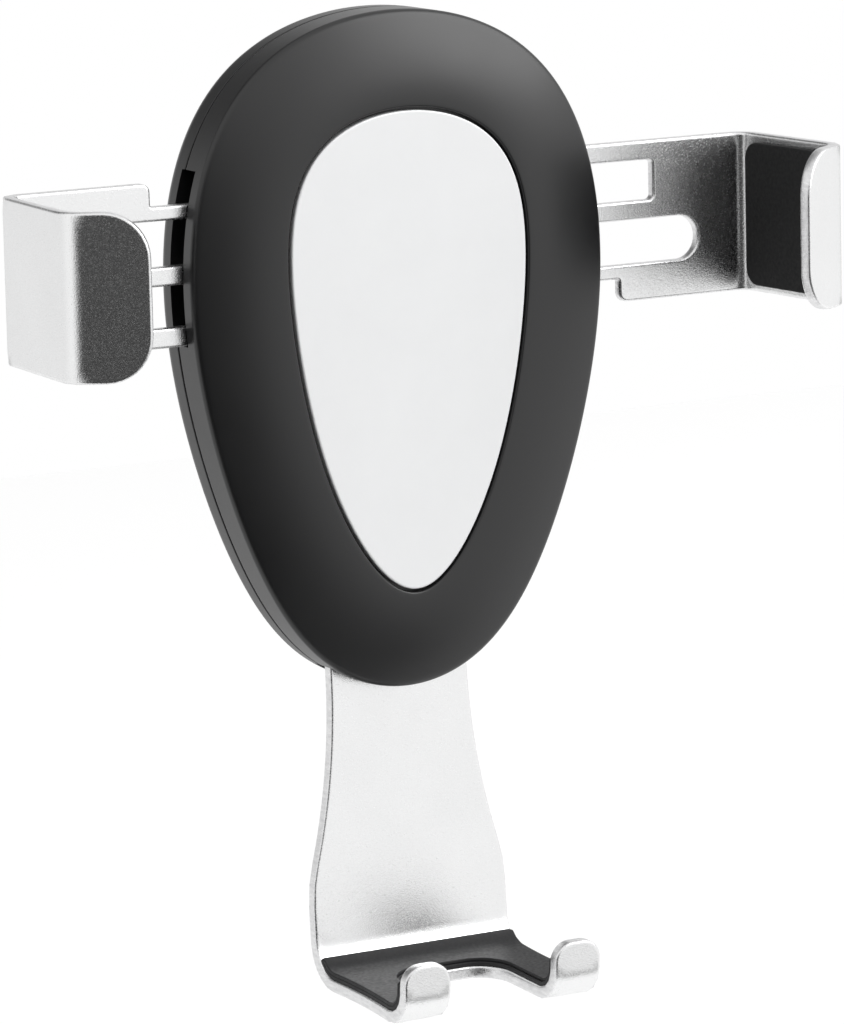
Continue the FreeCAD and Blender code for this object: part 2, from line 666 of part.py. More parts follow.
def return_spring(side):
    """Compression spring between the rear cover's seat and the slider's shoulder."""
    low = SPRING_SEAT_Z + SPRING_WIRE_RADIUS
    length = SHOULDER_Z - SPRING_SEAT_Z - 2 * SPRING_WIRE_RADIUS
    spring = coil(SPRING_COIL_RADIUS, SPRING_WIRE_RADIUS, SPRING_TURNS, length)
    spring.translate(vec(side * SPRING_X, SLIDER_FRONT_Y + BRACKET_SHEET / 2, low))
    return spring


# Housing

def side_and_leg_slots():
    """Openings in the housing wall for both arms and for the leg."""
    heights = (ARM_LOW_Z - SIDE_SLOT_BELOW, ARM_TOP_Z + SIDE_SLOT_ABOVE)
    depth = (ARM_FRONT_Y - SIDE_SLOT_AHEAD, ARM_REAR_Y + SIDE_SLOT_BEHIND)
    slots = [block((side * SIDE_SLOT_INNER_X, side * (RIM_HALF_WIDTH + 5)), depth, heights) for side in (1, -1)]
    half = NECK_HALF_WIDTH + LEG_SLOT_GAP
    leg_front_y = leg_y(-RIM_HALF_HEIGHT) - BRACKET_SHEET / 2
    slots.append(block((-half, half), (leg_front_y - LEG_SLOT_GAP, SLIDER_REAR_Y + LEG_SLOT_GAP),
                       (-RIM_HALF_HEIGHT - 8, -RIM_HALF_HEIGHT + 8)))
    return slots


def front_outer():
    """Straight wall up to the rim, then a soft dome that rises to the face plate's pocket."""
    wall = egg_prism(EGG_RIM, (RIM_Y, SEAM_Y))
    rim = egg_points(EGG_RIM, 0)
    edge = egg_points(EGG_FACE, 0, -(FACE_GAP + 0.5))
    sections = []
    for share in (0.0, 0.25, 0.5, 0.75, 1.0):
        y = RIM_Y * (1 - share) ** 1.7
        sections.append([vec(p.x, y, p.z) for p in between(rim, edge, share)])
    return wall, lofted(sections)


def front_cover():
    """Front shell with the face plate's pocket, guide ribs, guide post and screw bosses."""
    wall, dome = front_outer()
    shell = wall.cut(egg_prism(EGG_RIM, (FRONT_INNER_Y, SEAM_Y + 1), WALL))
    shell = shell.cut(egg_prism(EGG_RIM, (SEAM_Y - LIP_DEPTH - LIP_GAP, SEAM_Y + 1), WALL / 2))
    shell = join([shell, dome])
    shell = shell.cut(egg_prism(EGG_FACE, (-1, FACE_THICKNESS), -FACE_GAP))
    rear = ARM_REAR_Y
    root = FRONT_INNER_Y - 0.3
    wide = (-RIM_HALF_WIDTH, RIM_HALF_WIDTH)
    rail_heights = ((ARM_TOP_Z + ARM_GUIDE_GAP, ARM_TOP_Z + ARM_GUIDE_GAP + RIB),
                    (ARM_LOW_Z - ARM_GUIDE_GAP - RIB, ARM_LOW_Z - ARM_GUIDE_GAP))
    rails = [block(wide, (root, rear), heights) for heights in rail_heights]
    for side in (1, -1):
        rails.append(block((side * BEARING_RIB_X, side * (BEARING_RIB_X + RIB)),
                           (root, ARM_FRONT_Y - ARM_GUIDE_GAP),
                           (ARM_LOW_Z - RIB, ARM_TOP_Z + RIB)))
    inner = egg_prism(EGG_RIM, (root, BOSS_JOINT_Y), WALL / 2 + LIP_GAP)
    reach = egg_prism(EGG_RIM, (root, rear), WALL + 0.5)
    ribs = join(rails).common(reach)
    post = rod_y(GUIDE_POST_RADIUS, 0, GUIDE_POST_Z, (root, BOSS_JOINT_Y))
    bosses = [rod_y(BOSS_RADIUS, x, z, (root, BOSS_JOINT_Y)) for x, z in SCREW_PLACES]
    shell = join([shell, ribs, post] + [boss.common(inner) for boss in bosses])
    pilots = [rod_y(SCREW_RADIUS + SCREW_FIT, x, z, (SCREW_HEAD_SEAT_Y - SCREW_LENGTH - 0.5, BOSS_JOINT_Y + 1))
              for x, z in SCREW_PLACES]
    return shell.cut(side_and_leg_slots() + pilots)


def rear_outer():
    """Wall behind the seam and a rounded back that flattens round the socket."""
    wall = egg_prism(EGG_RIM, (SEAM_Y, REAR_EDGE_Y))
    sections = []
    for share in (0.0, 0.2, 0.5, 1.0):
        y = REAR_EDGE_Y + (REAR_FACE_Y - REAR_EDGE_Y) * math.sin(share * math.pi / 2)
        inset = REAR_FACE_INSET * (1 - math.cos(share * math.pi / 2))
        sections.append(egg_points(EGG_RIM, y, inset))
    return wall, lofted(sections)


def rear_cover():
    """Rear shell with locating lip, slider ribs, spring seats, screw columns and ball socket."""
    wall, back = rear_outer()
    outer = join([wall, back])
    inner_wall = egg_prism(EGG_RIM, (SEAM_Y - 1, REAR_EDGE_Y), WALL)
    inner_back = lofted([egg_points(EGG_RIM, REAR_EDGE_Y, WALL),
                         egg_points(EGG_RIM, REAR_EDGE_Y + 1.1, WALL + 1.4),
                         egg_points(EGG_RIM, REAR_FACE_Y - WALL, REAR_FACE_INSET + 1.5)])
    back_y = REAR_FACE_Y - WALL + 0.3
    bearing_y = SLIDER_REAR_Y + LAYER_GAP / 2
    standing = [rod_y(GUIDE_POST_RADIUS, 0, GUIDE_POST_Z, (BOSS_JOINT_Y + 0.05, REAR_FACE_Y))]
    standing += [rod_y(BOSS_RADIUS + 0.4, x, z, (BOSS_JOINT_Y + 0.05, REAR_FACE_Y + 1))
                 for x, z in SCREW_PLACES]
    for side in (1, -1):
        for heights in (LOW_RIB_Z, HIGH_RIB_Z):
            standing.append(block((side * REAR_RIB_X, side * (REAR_RIB_X + RIB)),
                                  (bearing_y, REAR_FACE_Y), heights))
    cavity = join([inner_wall, inner_back]).cut(standing)
    shell = outer.cut(cavity)
    shell = shell.cut(egg_ring(EGG_RIM, (SEAM_Y - 1, SEAM_Y + SEAM_GROOVE), -2, SEAM_GROOVE))
    lip = egg_ring(EGG_RIM, (SEAM_Y - LIP_DEPTH, SEAM_Y + 0.5), WALL / 2 + LIP_GAP, WALL)
    inside = egg_prism(EGG_RIM, (FRONT_INNER_Y, REAR_EDGE_Y + 0.5), WALL - 0.3)
    ribs = []
    for side in (1, -1):
        seat_x = (side * (SPRING_X - 2.3), side * (SPRING_X + 2.3))
        seat = block(seat_x, (ARM_FRONT_Y, back_y), (SPRING_SEAT_Z - SEAT_THICKNESS, SPRING_SEAT_Z))
        peg = rod_z(SPRING_PEG_RADIUS, side * SPRING_X, SLIDER_FRONT_Y + BRACKET_SHEET / 2,
                    (SPRING_SEAT_Z - 0.5, SPRING_SEAT_Z + SPRING_PEG_HEIGHT))
        guide = block((side * SIDE_RIB_X, side * (SIDE_RIB_X + RIB)),
                      (ARM_REAR_Y + ARM_GUIDE_GAP, REAR_EDGE_Y + 0.6), (ARM_LOW_Z + 1, ARM_TOP_Z - 1))
        ribs += [seat, peg, guide.common(inside)]
    socket_radius = BALL_RADIUS + 2 * LINER_GAP + LINER_THICKNESS
    boss = rod_y(socket_radius + SOCKET_WALL, 0, 0, (REAR_FACE_Y - 0.5, SOCKET_END_Y))
    shell = join([shell, lip, boss] + ribs)
    bore = join([Part.makeSphere(socket_radius, vec(0, BALL_Y, 0)),
                 rod_y(socket_radius, 0, 0, (BALL_Y, SOCKET_END_Y + 1))])
    cuts = side_and_leg_slots() + [bore]
    for x, z in SCREW_PLACES:
        cuts.append(rod_y(SCREW_RADIUS + SCREW_FIT, x, z, (BOSS_JOINT_Y - 1, REAR_FACE_Y)))
        cuts.append(rod_y(SCREW_HEAD_RADIUS + 0.15, x, z, (SCREW_HEAD_SEAT_Y, REAR_FACE_Y + 1)))
    return shell.cut(cuts)


def face_plate():
    """Egg-shaped plate that fills the front pocket, with a fine chamfer."""
    plate = egg_prism(EGG_FACE, (FACE_CHAMFER, FACE_THICKNESS))
    cap = lofted([egg_points(EGG_FACE, 0, FACE_CHAMFER), egg_points(EGG_FACE, FACE_CHAMFER)])
    return join([plate, cap])


def cover_screws():
    """Four recessed self-tapping screws with cross recesses, one solid each."""
    screws = []
    for x, z in SCREW_PLACES:
        head_top = SCREW_HEAD_SEAT_Y + SCREW_HEAD_THICKNESS
        head = rod_y(SCREW_HEAD_RADIUS, x, z, (SCREW_HEAD_SEAT_Y, head_top))
        shank = rod_y(SCREW_RADIUS, x, z, (SCREW_HEAD_SEAT_Y - SCREW_LENGTH, SCREW_HEAD_SEAT_Y + 0.1))
        depth = (head_top - SCREW_CROSS, head_top + 1)
        half = SCREW_CROSS / 2
        bars = [block((x - 1.2, x + 1.2), depth, (z - half, z + half)),
                block((x - half, x + half), depth, (z - 1.2, z + 1.2))]
        screws.append(join([head, shank]).cut(bars))
    return Part.makeCompound(screws)


# Ball joint

def ball_shell(low_y, high_y):
    """Part of the thin spherical liner round the ball, between two planes across Y."""
    outer = Part.makeSphere(BALL_RADIUS + LINER_GAP + LINER_THICKNESS, vec(0, BALL_Y, 0))
    inner = Part.makeSphere(BALL_RADIUS + LINER_GAP, vec(0, BALL_Y, 0))
    reach = (-2 * BALL_RADIUS, 2 * BALL_RADIUS)
    return outer.cut(inner).common(block(reach, (low_y, high_y), reach))


def mouth_cone(extra=0.0):
    """Cone from the ball's centre towards the clip that the stem swings in."""
    length = 12.0
    return Part.makeCone(0, (length * math.tan(math.radians(MOUTH_ANGLE))) + extra, length,
                         vec(0, BALL_Y, 0), Y_AXIS)


def ball_cup():
    """Front half of the liner, seated in the socket."""
    return ball_shell(BALL_Y - 2 * BALL_RADIUS, BALL_Y - CUP_EDGE)


def clamp_ring():
    """Rear half of the liner: a split ring that the nut presses on the ball."""
    ring = ball_shell(BALL_Y + RING_EDGE, BALL_Y + 2 * BALL_RADIUS).cut(mouth_cone())
    slit = block((-RING_SLIT / 2, RING_SLIT / 2), (BALL_Y, BALL_Y + 2 * BALL_RADIUS), (0, 2 * BALL_RADIUS))
    return ring.cut(slit)


def lock_nut():
    """Knurled nut on the socket's thread, with a lip that bears on the clamp ring."""
    body = rod_y(NUT_RADIUS, 0, 0, (NUT_FRONT_Y, NUT_REAR_Y))
    rims = [edge for edge in body.Edges if isinstance(edge.Curve, Part.Circle)]
    body = body.makeChamfer(NUT_CHAMFER, rims)
    socket_radius = BALL_RADIUS + 2 * LINER_GAP + LINER_THICKNESS
    thread = rod_y(socket_radius + SOCKET_WALL + NUT_FIT, 0, 0, (NUT_FRONT_Y - 1, NUT_LIP_Y))
    lip = Part.makeSphere(socket_radius, vec(0, BALL_Y, 0))
    cuts = [thread, lip, mouth_cone()]
    for index in range(GRIP_COUNT):
        angle = 2 * math.pi * index / GRIP_COUNT
        reach = NUT_RADIUS + GRIP_RADIUS - GRIP_DEPTH
        cuts.append(rod_y(GRIP_RADIUS, reach * math.cos(angle), reach * math.sin(angle),
                          (NUT_FRONT_Y - 1, NUT_REAR_Y + 1)))
    return body.cut(cuts)


# Vent clip

JAW_HALF_GAP = JAW_GAP / 2 + JAW_PAD_THICKNESS


def clip_body():
    """Ball, stem and fixed upper jaw in one moulding, with two ears for the hinge pin."""
    ball = Part.makeSphere(BALL_RADIUS, vec(0, BALL_Y, 0))
    stem = rod_y(STEM_RADIUS, 0, 0, (BALL_Y, CLIP_FRONT_Y + CLIP_WALL / 2))
    profile = [(CLIP_FRONT_Y + CLIP_WALL, CLIP_BODY_UNDER_Z), (CLIP_FRONT_Y + CLIP_WALL, CLIP_WALL_END_Z),
               (CLIP_FRONT_Y, CLIP_WALL_END_Z), (CLIP_FRONT_Y, CLIP_TOP_Z),
               (CLIP_HINGE_Y + 2, CLIP_TOP_Z), (CLIP_TIP_Y, CLIP_TIP_TOP_Z),
               (CLIP_TIP_Y, JAW_HALF_GAP), (JAW_PAD_START_Y - 0.8, JAW_HALF_GAP),
               (JAW_PAD_START_Y - 0.8, CLIP_BODY_UNDER_Z)]
    jaw = prism(profile, "x", -CLIP_HALF_WIDTH, CLIP_HALF_WIDTH)
    jaw = rounded_edges(jaw, 1.0, lambda middle, d: abs(d.x) > 0.9 and middle.z > JAW_HALF_GAP + 0.1)
    ears = []
    for side in (1, -1):
        span = (side * EAR_INNER_X, side * CLIP_HALF_WIDTH)
        ears.append(rod_x(EAR_RADIUS, CLIP_HINGE_Y, CLIP_HINGE_Z, span))
        ears.append(block(span, (CLIP_HINGE_Y - EAR_RADIUS, CLIP_HINGE_Y + EAR_RADIUS),
                          (CLIP_HINGE_Z, CLIP_BODY_UNDER_Z + 0.2)))
    hole = rod_x(CLIP_PIN_RADIUS + CLIP_PIN_FIT, CLIP_HINGE_Y, CLIP_HINGE_Z, (-10, 10))
    leg_x = -CLIP_SPRING_LENGTH / 2
    groove = block((leg_x - LEG_GROOVE_HALF, leg_x + LEG_GROOVE_HALF),
                   (CLIP_FRONT_Y + CLIP_WALL, CLIP_HINGE_Y + 0.5),
                   (CLIP_BODY_UNDER_Z - 1, CLIP_BODY_UNDER_Z + LEG_GROOVE_DEPTH))
    return join([ball, stem, jaw] + ears).cut([hole, groove])


def clip_jaw():
    """Lower jaw with split barrel, and the lever that opens it."""
    inner = EAR_INNER_X - EAR_GAP
    barrel = rod_x(BARREL_RADIUS, CLIP_HINGE_Y, CLIP_HINGE_Z, (-inner, inner))
    neck_end = CLIP_HINGE_Y + EAR_RADIUS + 0.6
    neck = prism([(CLIP_HINGE_Y, JAW_UNDER_Z - 0.7), (CLIP_HINGE_Y, CLIP_HINGE_Z + 1.2),
                  (neck_end + 1, -JAW_HALF_GAP), (neck_end + 1, JAW_UNDER_Z - 0.2)], "x", -inner, inner)
    plate = prism([(neck_end, -JAW_HALF_GAP), (CLIP_TIP_Y, -JAW_HALF_GAP),
                   (CLIP_TIP_Y, JAW_TIP_UNDER_Z), (neck_end, JAW_UNDER_Z)],
                  "x", -CLIP_HALF_WIDTH, CLIP_HALF_WIDTH)
    front_y = CLIP_HINGE_Y - LEVER_THICKNESS / 2
    lever = block((-inner, inner), (front_y, front_y + LEVER_THICKNESS), (CLIP_HINGE_Z - 4, CLIP_HINGE_Z))
    paddle = block((-LEVER_HALF_WIDTH, LEVER_HALF_WIDTH), (front_y, front_y + LEVER_THICKNESS),
                   (LEVER_END_Z, CLIP_HINGE_Z - EAR_RADIUS - 0.5))
    paddle = rounded_edges(paddle, 2.0, lambda middle, d: abs(d.y) > 0.9 and middle.z < LEVER_END_Z + 0.1)
    ribs = [rod_x(LEVER_RIB, front_y + LEVER_THICKNESS, LEVER_END_Z + 2.0 + 1.3 * i,
                  (-LEVER_HALF_WIDTH + 1, LEVER_HALF_WIDTH - 1)) for i in range(4)]
    hole = rod_x(CLIP_PIN_RADIUS + CLIP_PIN_FIT, CLIP_HINGE_Y, CLIP_HINGE_Z, (-10, 10))
    coil_room = rod_x(BARREL_RADIUS + 0.2, CLIP_HINGE_Y, CLIP_HINGE_Z,
                      (-BARREL_NOTCH_HALF, BARREL_NOTCH_HALF))
    return join([barrel, neck, plate, lever, paddle] + ribs).cut([hole, coil_room])


def clip_hinge_pin():
    """Headed steel pin through both ears and the jaw's barrel."""
    shank = rod_x(CLIP_PIN_RADIUS, CLIP_HINGE_Y, CLIP_HINGE_Z, (-CLIP_HALF_WIDTH, CLIP_HALF_WIDTH + 0.3))
    head = rod_x(CLIP_PIN_HEAD_RADIUS, CLIP_HINGE_Y, CLIP_HINGE_Z,
                 (-CLIP_HALF_WIDTH - CLIP_PIN_HEAD, -CLIP_HALF_WIDTH))
    return join([shank, head])


def clip_spring():
    """Torsion spring round the hinge pin: one leg on the lever, one under the clip body."""
    wire = coil(CLIP_SPRING_RADIUS, CLIP_SPRING_WIRE, CLIP_SPRING_TURNS, CLIP_SPRING_LENGTH, -90)
    wire.rotate(vec(0, 0, 0), Y_AXIS, 90)
    wire.translate(vec(-CLIP_SPRING_LENGTH / 2, CLIP_HINGE_Y, CLIP_HINGE_Z))
    leg_y_place = CLIP_HINGE_Y - CLIP_SPRING_RADIUS
    body_leg = rod_z(CLIP_LEG_WIRE, -CLIP_SPRING_LENGTH / 2, leg_y_place,
                     (CLIP_HINGE_Z, CLIP_BODY_UNDER_Z - 0.05))
    lever_leg = rod_z(CLIP_LEG_WIRE, CLIP_SPRING_LENGTH / 2, leg_y_place,
                      (CLIP_HINGE_Z - CLIP_SPRING_LEG, CLIP_HINGE_Z))
    return join([wire, body_leg, lever_leg])


def jaw_pad(side):
    """Ribbed rubber pad on one jaw's inner face: side 1 is the upper jaw, -1 the lower."""
    face = side * JAW_GAP / 2
    back = side * (JAW_GAP / 2 + JAW_PAD_THICKNESS)
    pad = block((-CLIP_HALF_WIDTH + 0.4, CLIP_HALF_WIDTH - 0.4), (JAW_PAD_START_Y, CLIP_TIP_Y - 0.4),
                (face, back))
    count = 5
    pitch = (CLIP_TIP_Y - 0.4 - JAW_PAD_START_Y) / count
    grooves = [block((-CLIP_HALF_WIDTH, CLIP_HALF_WIDTH),
                     (JAW_PAD_START_Y + pitch * (i + 0.8), JAW_PAD_START_Y + pitch * (i + 1.0)),
                     (face - side * 0.5, face + side * 0.3)) for i in range(count - 1)]
    return pad.cut(grooves)


def main():
    os.makedirs("parts", exist_ok=True)
    arm = right_arm()
    pad = right_arm_pad()
    pin = right_drive_pin()
    pieces = {
        "face_plate": face_plate(),
        "front_cover": front_cover(),
        "rear_cover": rear_cover(),
        "cover_screws": cover_screws(),
        "right_arm": arm,
        "right_arm_pad": pad,
        "right_drive_pin": pin,
        "left_arm": half_turned(arm),
        "left_arm_pad": half_turned(pad),
        "left_drive_pin": half_turned(pin),
        "lower_bracket": lower_bracket(),
        "shelf_pad": shelf_pad(),
        "right_return_spring": return_spring(1),
        "left_return_spring": return_spring(-1),
        "ball_cup": ball_cup(),
        "clamp_ring": clamp_ring(),
        "lock_nut": lock_nut(),
        "clip_body": clip_body(),
        "clip_jaw": clip_jaw(),
        "clip_hinge_pin": clip_hinge_pin(),
        "clip_spring": clip_spring(),
        "upper_jaw_pad": jaw_pad(1),
        "lower_jaw_pad": jaw_pad(-1),
    }
    for name, shape in pieces.items():
        shape.exportStep("parts/" + name + ".step")
        box = shape.BoundBox
        print(name, len(shape.Solids), "valid", shape.isValid(), "volume", round(shape.Volume, 2),
              "x", round(box.XMin, 2), round(box.XMax, 2), "y", round(box.YMin, 2), round(box.YMax, 2),
              "z", round(box.ZMin, 2), round(box.ZMax, 2))


main()
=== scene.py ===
import bpy
import math
import numpy as np
from mathutils import Matrix, Vector
from mathutils.geometry import delaunay_2d_cdt


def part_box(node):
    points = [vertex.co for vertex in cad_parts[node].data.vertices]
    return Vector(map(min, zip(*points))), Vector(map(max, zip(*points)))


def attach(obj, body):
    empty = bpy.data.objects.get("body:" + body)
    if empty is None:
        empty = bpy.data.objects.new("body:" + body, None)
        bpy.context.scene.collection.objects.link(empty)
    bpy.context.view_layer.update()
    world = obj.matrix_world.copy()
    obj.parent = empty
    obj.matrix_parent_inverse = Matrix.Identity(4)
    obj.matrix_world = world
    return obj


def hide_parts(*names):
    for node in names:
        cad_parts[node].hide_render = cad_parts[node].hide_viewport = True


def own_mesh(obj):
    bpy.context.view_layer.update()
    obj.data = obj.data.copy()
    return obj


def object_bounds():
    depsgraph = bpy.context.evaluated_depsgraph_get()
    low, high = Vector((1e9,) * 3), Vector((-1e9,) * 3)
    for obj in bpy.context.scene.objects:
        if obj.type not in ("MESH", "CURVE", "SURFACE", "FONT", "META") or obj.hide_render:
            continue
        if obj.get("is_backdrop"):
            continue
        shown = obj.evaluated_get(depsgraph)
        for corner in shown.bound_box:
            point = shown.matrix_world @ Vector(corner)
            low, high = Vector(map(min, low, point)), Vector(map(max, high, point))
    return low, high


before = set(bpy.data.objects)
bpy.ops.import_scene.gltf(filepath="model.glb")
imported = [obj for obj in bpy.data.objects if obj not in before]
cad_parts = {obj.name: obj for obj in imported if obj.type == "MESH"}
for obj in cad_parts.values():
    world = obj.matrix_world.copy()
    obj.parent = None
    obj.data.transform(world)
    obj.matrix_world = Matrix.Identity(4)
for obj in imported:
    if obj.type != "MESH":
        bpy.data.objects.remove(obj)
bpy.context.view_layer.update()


# Front cover: the front half of the housing, one injection moulding in black plastic with a fine
# satin skin. A soft dome rises from the rim to a pocket for the face plate, and the wall behind
# the rim has a slot for each arm and one for the leg.

MM = 0.001
AROUND = np.linspace(0, 2 * np.pi, 240, endpoint=False)
RIM = dict(half_width=27.08, half_height=37.53, lean=(0.1888, 0.0847, -0.0041, 0.0104), centre=0.0)
FACE = dict(half_width=15.1, half_height=26.45, lean=(0.388, 0.090, 0.038), centre=0.2)
CREASE_ANGLE = 40.0
RIM_Y = 2.25
RIM_CREASE = 0.5
WALL_MIDDLE_Y = 4.5
SEAM_Y = 6.5
SEAM_ROUND = 0.15
WALL = 1.6
FACE_THICKNESS = 1.2
POCKET_GAP = 0.35
POCKET_ROUND = 0.22
DOME_START = 0.85
DOME_POWER = 1.7
CREASE_SHARE = 0.055
FRONT_INNER_Y = 2.7
ARM_MIDDLE_Z = 11.55
ARM_HEIGHT = 18.0
ARM_SLOT_X = (19.0, 41.0)
ARM_SLOT_Y = (4.2, 7.28)
ARM_SLOT_Z = (ARM_MIDDLE_Z - ARM_HEIGHT / 2 - 0.12, ARM_MIDDLE_Z + ARM_HEIGHT / 2 + 0.9)
LEG_SLOT_HALF = 9.05
LEG_SLOT_Y = (4.29, 7.58)
LEG_SLOT_Z = (-45.5, -29.5)


def egg(around, half_width, half_height, lean, centre, out=0.0):
    """Egg outline: x = a sin t (1 + k1 cos t + k2 cos 2t + ...), z = c + b cos t, moved out along its normal."""
    order = np.arange(1, len(lean) + 1)[:, None]
    swell = 1 + (np.array(lean)[:, None] * np.cos(order * around)).sum(0)
    slope = -(np.array(lean)[:, None] * order * np.sin(order * around)).sum(0)
    dx = half_width * (np.cos(around) * swell + np.sin(around) * slope)
    dz = -half_height * np.sin(around)
    size = np.hypot(dx, dz)
    x = half_width * np.sin(around) * swell - out * dz / size
    z = centre + half_height * np.cos(around) + out * dx / size
    return np.stack([x, z], 1)


def smoothed(mesh, crease_angle=CREASE_ANGLE):
    """Smooth shading, with a crease where faces meet at more than an angle in degrees."""
    mesh.polygons.foreach_set("use_smooth", np.ones(len(mesh.polygons), bool))
    mesh.set_sharp_from_angle(angle=math.radians(crease_angle))


def mesh_piece(name, points, faces, crease_angle=CREASE_ANGLE):
    """A piece from an array of points in millimetres and an array, or a list, of faces."""
    mesh = bpy.data.meshes.new(name)
    mesh.from_pydata((np.asarray(points, float) * MM).tolist(), [],
                     faces.tolist() if isinstance(faces, np.ndarray) else faces)
    smoothed(mesh, crease_angle)
    piece = bpy.data.objects.new(name, mesh)
    bpy.context.scene.collection.objects.link(piece)
    return piece


def band_faces(rows, around, first=0):
    """Four-cornered faces between neighbouring rows of a grid of rows by points around."""
    row = np.arange(rows - 1)[:, None] * around
    step = np.arange(around)[None, :]
    following = (step + 1) % around
    a = row + step + first
    b = row + following + first
    return np.stack([a, b, b + around, a + around], 2).reshape(-1, 4)


def turned_shell(name, rows):
    """A closed skin through rows of outlines; each row is (outline in x and z, y), and a pole closes each end."""
    around = len(rows[0][0])
    points = np.concatenate([np.column_stack([o[:, 0], np.full(around, y), o[:, 1]]) for o, y in rows])
    poles = np.array([[rows[k][0][:, 0].mean(), rows[k][1], rows[k][0][:, 1].mean()] for k in (0, -1)])
    first, last = len(points), len(points) + 1
    here = np.arange(around)
    after = (here + 1) % around
    start = (len(rows) - 1) * around
    faces = band_faces(len(rows), around).tolist()
    faces += np.stack([after, here, np.full(around, first)], 1).tolist()
    faces += np.stack([start + here, start + after, np.full(around, last)], 1).tolist()
    return mesh_piece(name, np.concatenate([points, poles]), faces)


def bend_round(before, corner, after, steps=4):
    """Points of a quadratic curve from before to after that rounds off corner."""
    t = np.linspace(0, 1, steps + 1)[:, None]
    before, corner, after = (np.array(p, float) for p in (before, corner, after))
    return (1 - t) ** 2 * before + 2 * t * (1 - t) * corner + t ** 2 * after


def boxes_cutter(name, boxes):
    """One mesh of plain boxes, given as low and high corners, for cutting openings."""
    corners = np.array([[(k >> 2) & 1, (k >> 1) & 1, k & 1] for k in range(8)], float)
    sides = np.array([[0, 1, 3, 2], [4, 6, 7, 5], [0, 4, 5, 1], [2, 3, 7, 6], [0, 2, 6, 4], [1, 5, 7, 3]])
    points = np.concatenate([np.array(low) + corners * (np.array(high) - np.array(low)) for low, high in boxes])
    faces = np.concatenate([sides + 8 * k for k in range(len(boxes))])
    return mesh_piece(name, points, faces)


def cut_away(piece, cutter):
    """Take cutter out of piece and keep the result as plain mesh."""
    modifier = piece.modifiers.new("openings", "BOOLEAN")
    modifier.operation = "DIFFERENCE"
    modifier.solver = "EXACT"
    modifier.object = cutter
    bpy.context.view_layer.update()
    graph = bpy.context.evaluated_depsgraph_get()
    result = bpy.data.meshes.new_from_object(piece.evaluated_get(graph))
    piece.modifiers.clear()
    piece.data = result
    smoothed(result)
    bpy.data.objects.remove(cutter)


def rim_out(out):
    """The housing's outline moved out, or in where negative."""
    return egg(AROUND, out=out, **RIM)


def wall_openings(name):
    """Cutter for the two arm slots and the leg slot."""
    boxes = [((low, ARM_SLOT_Y[0], ARM_SLOT_Z[0]), (high, ARM_SLOT_Y[1], ARM_SLOT_Z[1]))
             for low, high in (ARM_SLOT_X, (-ARM_SLOT_X[1], -ARM_SLOT_X[0]))]
    boxes.append(((-LEG_SLOT_HALF, LEG_SLOT_Y[0], LEG_SLOT_Z[0]), (LEG_SLOT_HALF, LEG_SLOT_Y[1], LEG_SLOT_Z[1])))
    return boxes_cutter(name, boxes)


def front_cover_rows():
    """Pocket floor, pocket wall, dome, rounded rim, wall, seam edge, then back inside the wall to the middle.

    The dome lies as deep as the rim times one less the share of the way to the pocket, to a power."""
    pocket = egg(AROUND, out=POCKET_GAP, **FACE)
    edge = egg(AROUND, out=DOME_START, **FACE)
    rim = rim_out(0)
    rows = [(pocket * share, FACE_THICKNESS) for share in (0.3, 0.9)]
    rows += [(pocket, FACE_THICKNESS), (pocket, POCKET_ROUND + 0.04)]
    quarter = np.linspace(0.0, np.pi / 2, 5)
    lip = POCKET_ROUND * (1 - np.column_stack([np.cos(quarter), np.sin(quarter)]))
    rows += [(egg(AROUND, out=POCKET_GAP + out, **FACE), y) for out, y in lip]
    shares = np.concatenate([[1.0, 0.97], np.linspace(0.93, 0.1, 26)])
    rows += [(rim + (edge - rim) * s, RIM_Y * (1 - s) ** DOME_POWER) for s in shares]
    crease_start = (CREASE_SHARE, RIM_Y * (1 - CREASE_SHARE) ** DOME_POWER)
    crease = bend_round(crease_start, (0.0, RIM_Y), (0.0, RIM_Y + RIM_CREASE), 6)
    rows += [(rim + (edge - rim) * s, y) for s, y in crease]
    rows += [(rim, y) for y in (RIM_Y + RIM_CREASE + 0.06, WALL_MIDDLE_Y, SEAM_Y - SEAM_ROUND - 0.05)]
    seam_edge = bend_round((0.0, SEAM_Y - SEAM_ROUND), (0.0, SEAM_Y), (SEAM_ROUND, SEAM_Y), 3)
    rows += [(rim_out(-inset), y) for inset, y in seam_edge]
    rows += [(rim_out(-WALL), y) for y in (SEAM_Y, FRONT_INNER_Y)]
    rows += [(rim_out(-WALL) * share, FRONT_INNER_Y) for share in (0.9, 0.3)]
    return rows


front_cover = turned_shell("front_cover_skin", front_cover_rows())
cut_away(front_cover, wall_openings("front_openings"))


def new_group(name, inputs, outputs):
    """A shader node group with the named input and output sockets."""
    group = bpy.data.node_groups.new(name, "ShaderNodeTree")
    for label, kind, value in inputs:
        socket = group.interface.new_socket(name=label, in_out="INPUT", socket_type=kind)
        if value is not None:
            socket.default_value = value
    for label, kind in outputs:
        group.interface.new_socket(name=label, in_out="OUTPUT", socket_type=kind)
    return group, group.nodes.new("NodeGroupInput"), group.nodes.new("NodeGroupOutput")


def maths(nodes, links, operation, first, second):
    """A Math node fed by sockets or plain numbers; gives its output socket."""
    node = nodes.new("ShaderNodeMath")
    node.operation = operation
    for socket, value in zip(node.inputs, (first, second)):
        if isinstance(value, float):
            socket.default_value = value
        else:
            links.new(value, socket)
    return node.outputs[0]


def feed(links, node, values):
    """Set a node's inputs by name, or link those that are given as sockets."""
    for label, value in values.items():
        if isinstance(value, bpy.types.NodeSocket):
            links.new(value, node.inputs[label])
        else:
            node.inputs[label].default_value = value


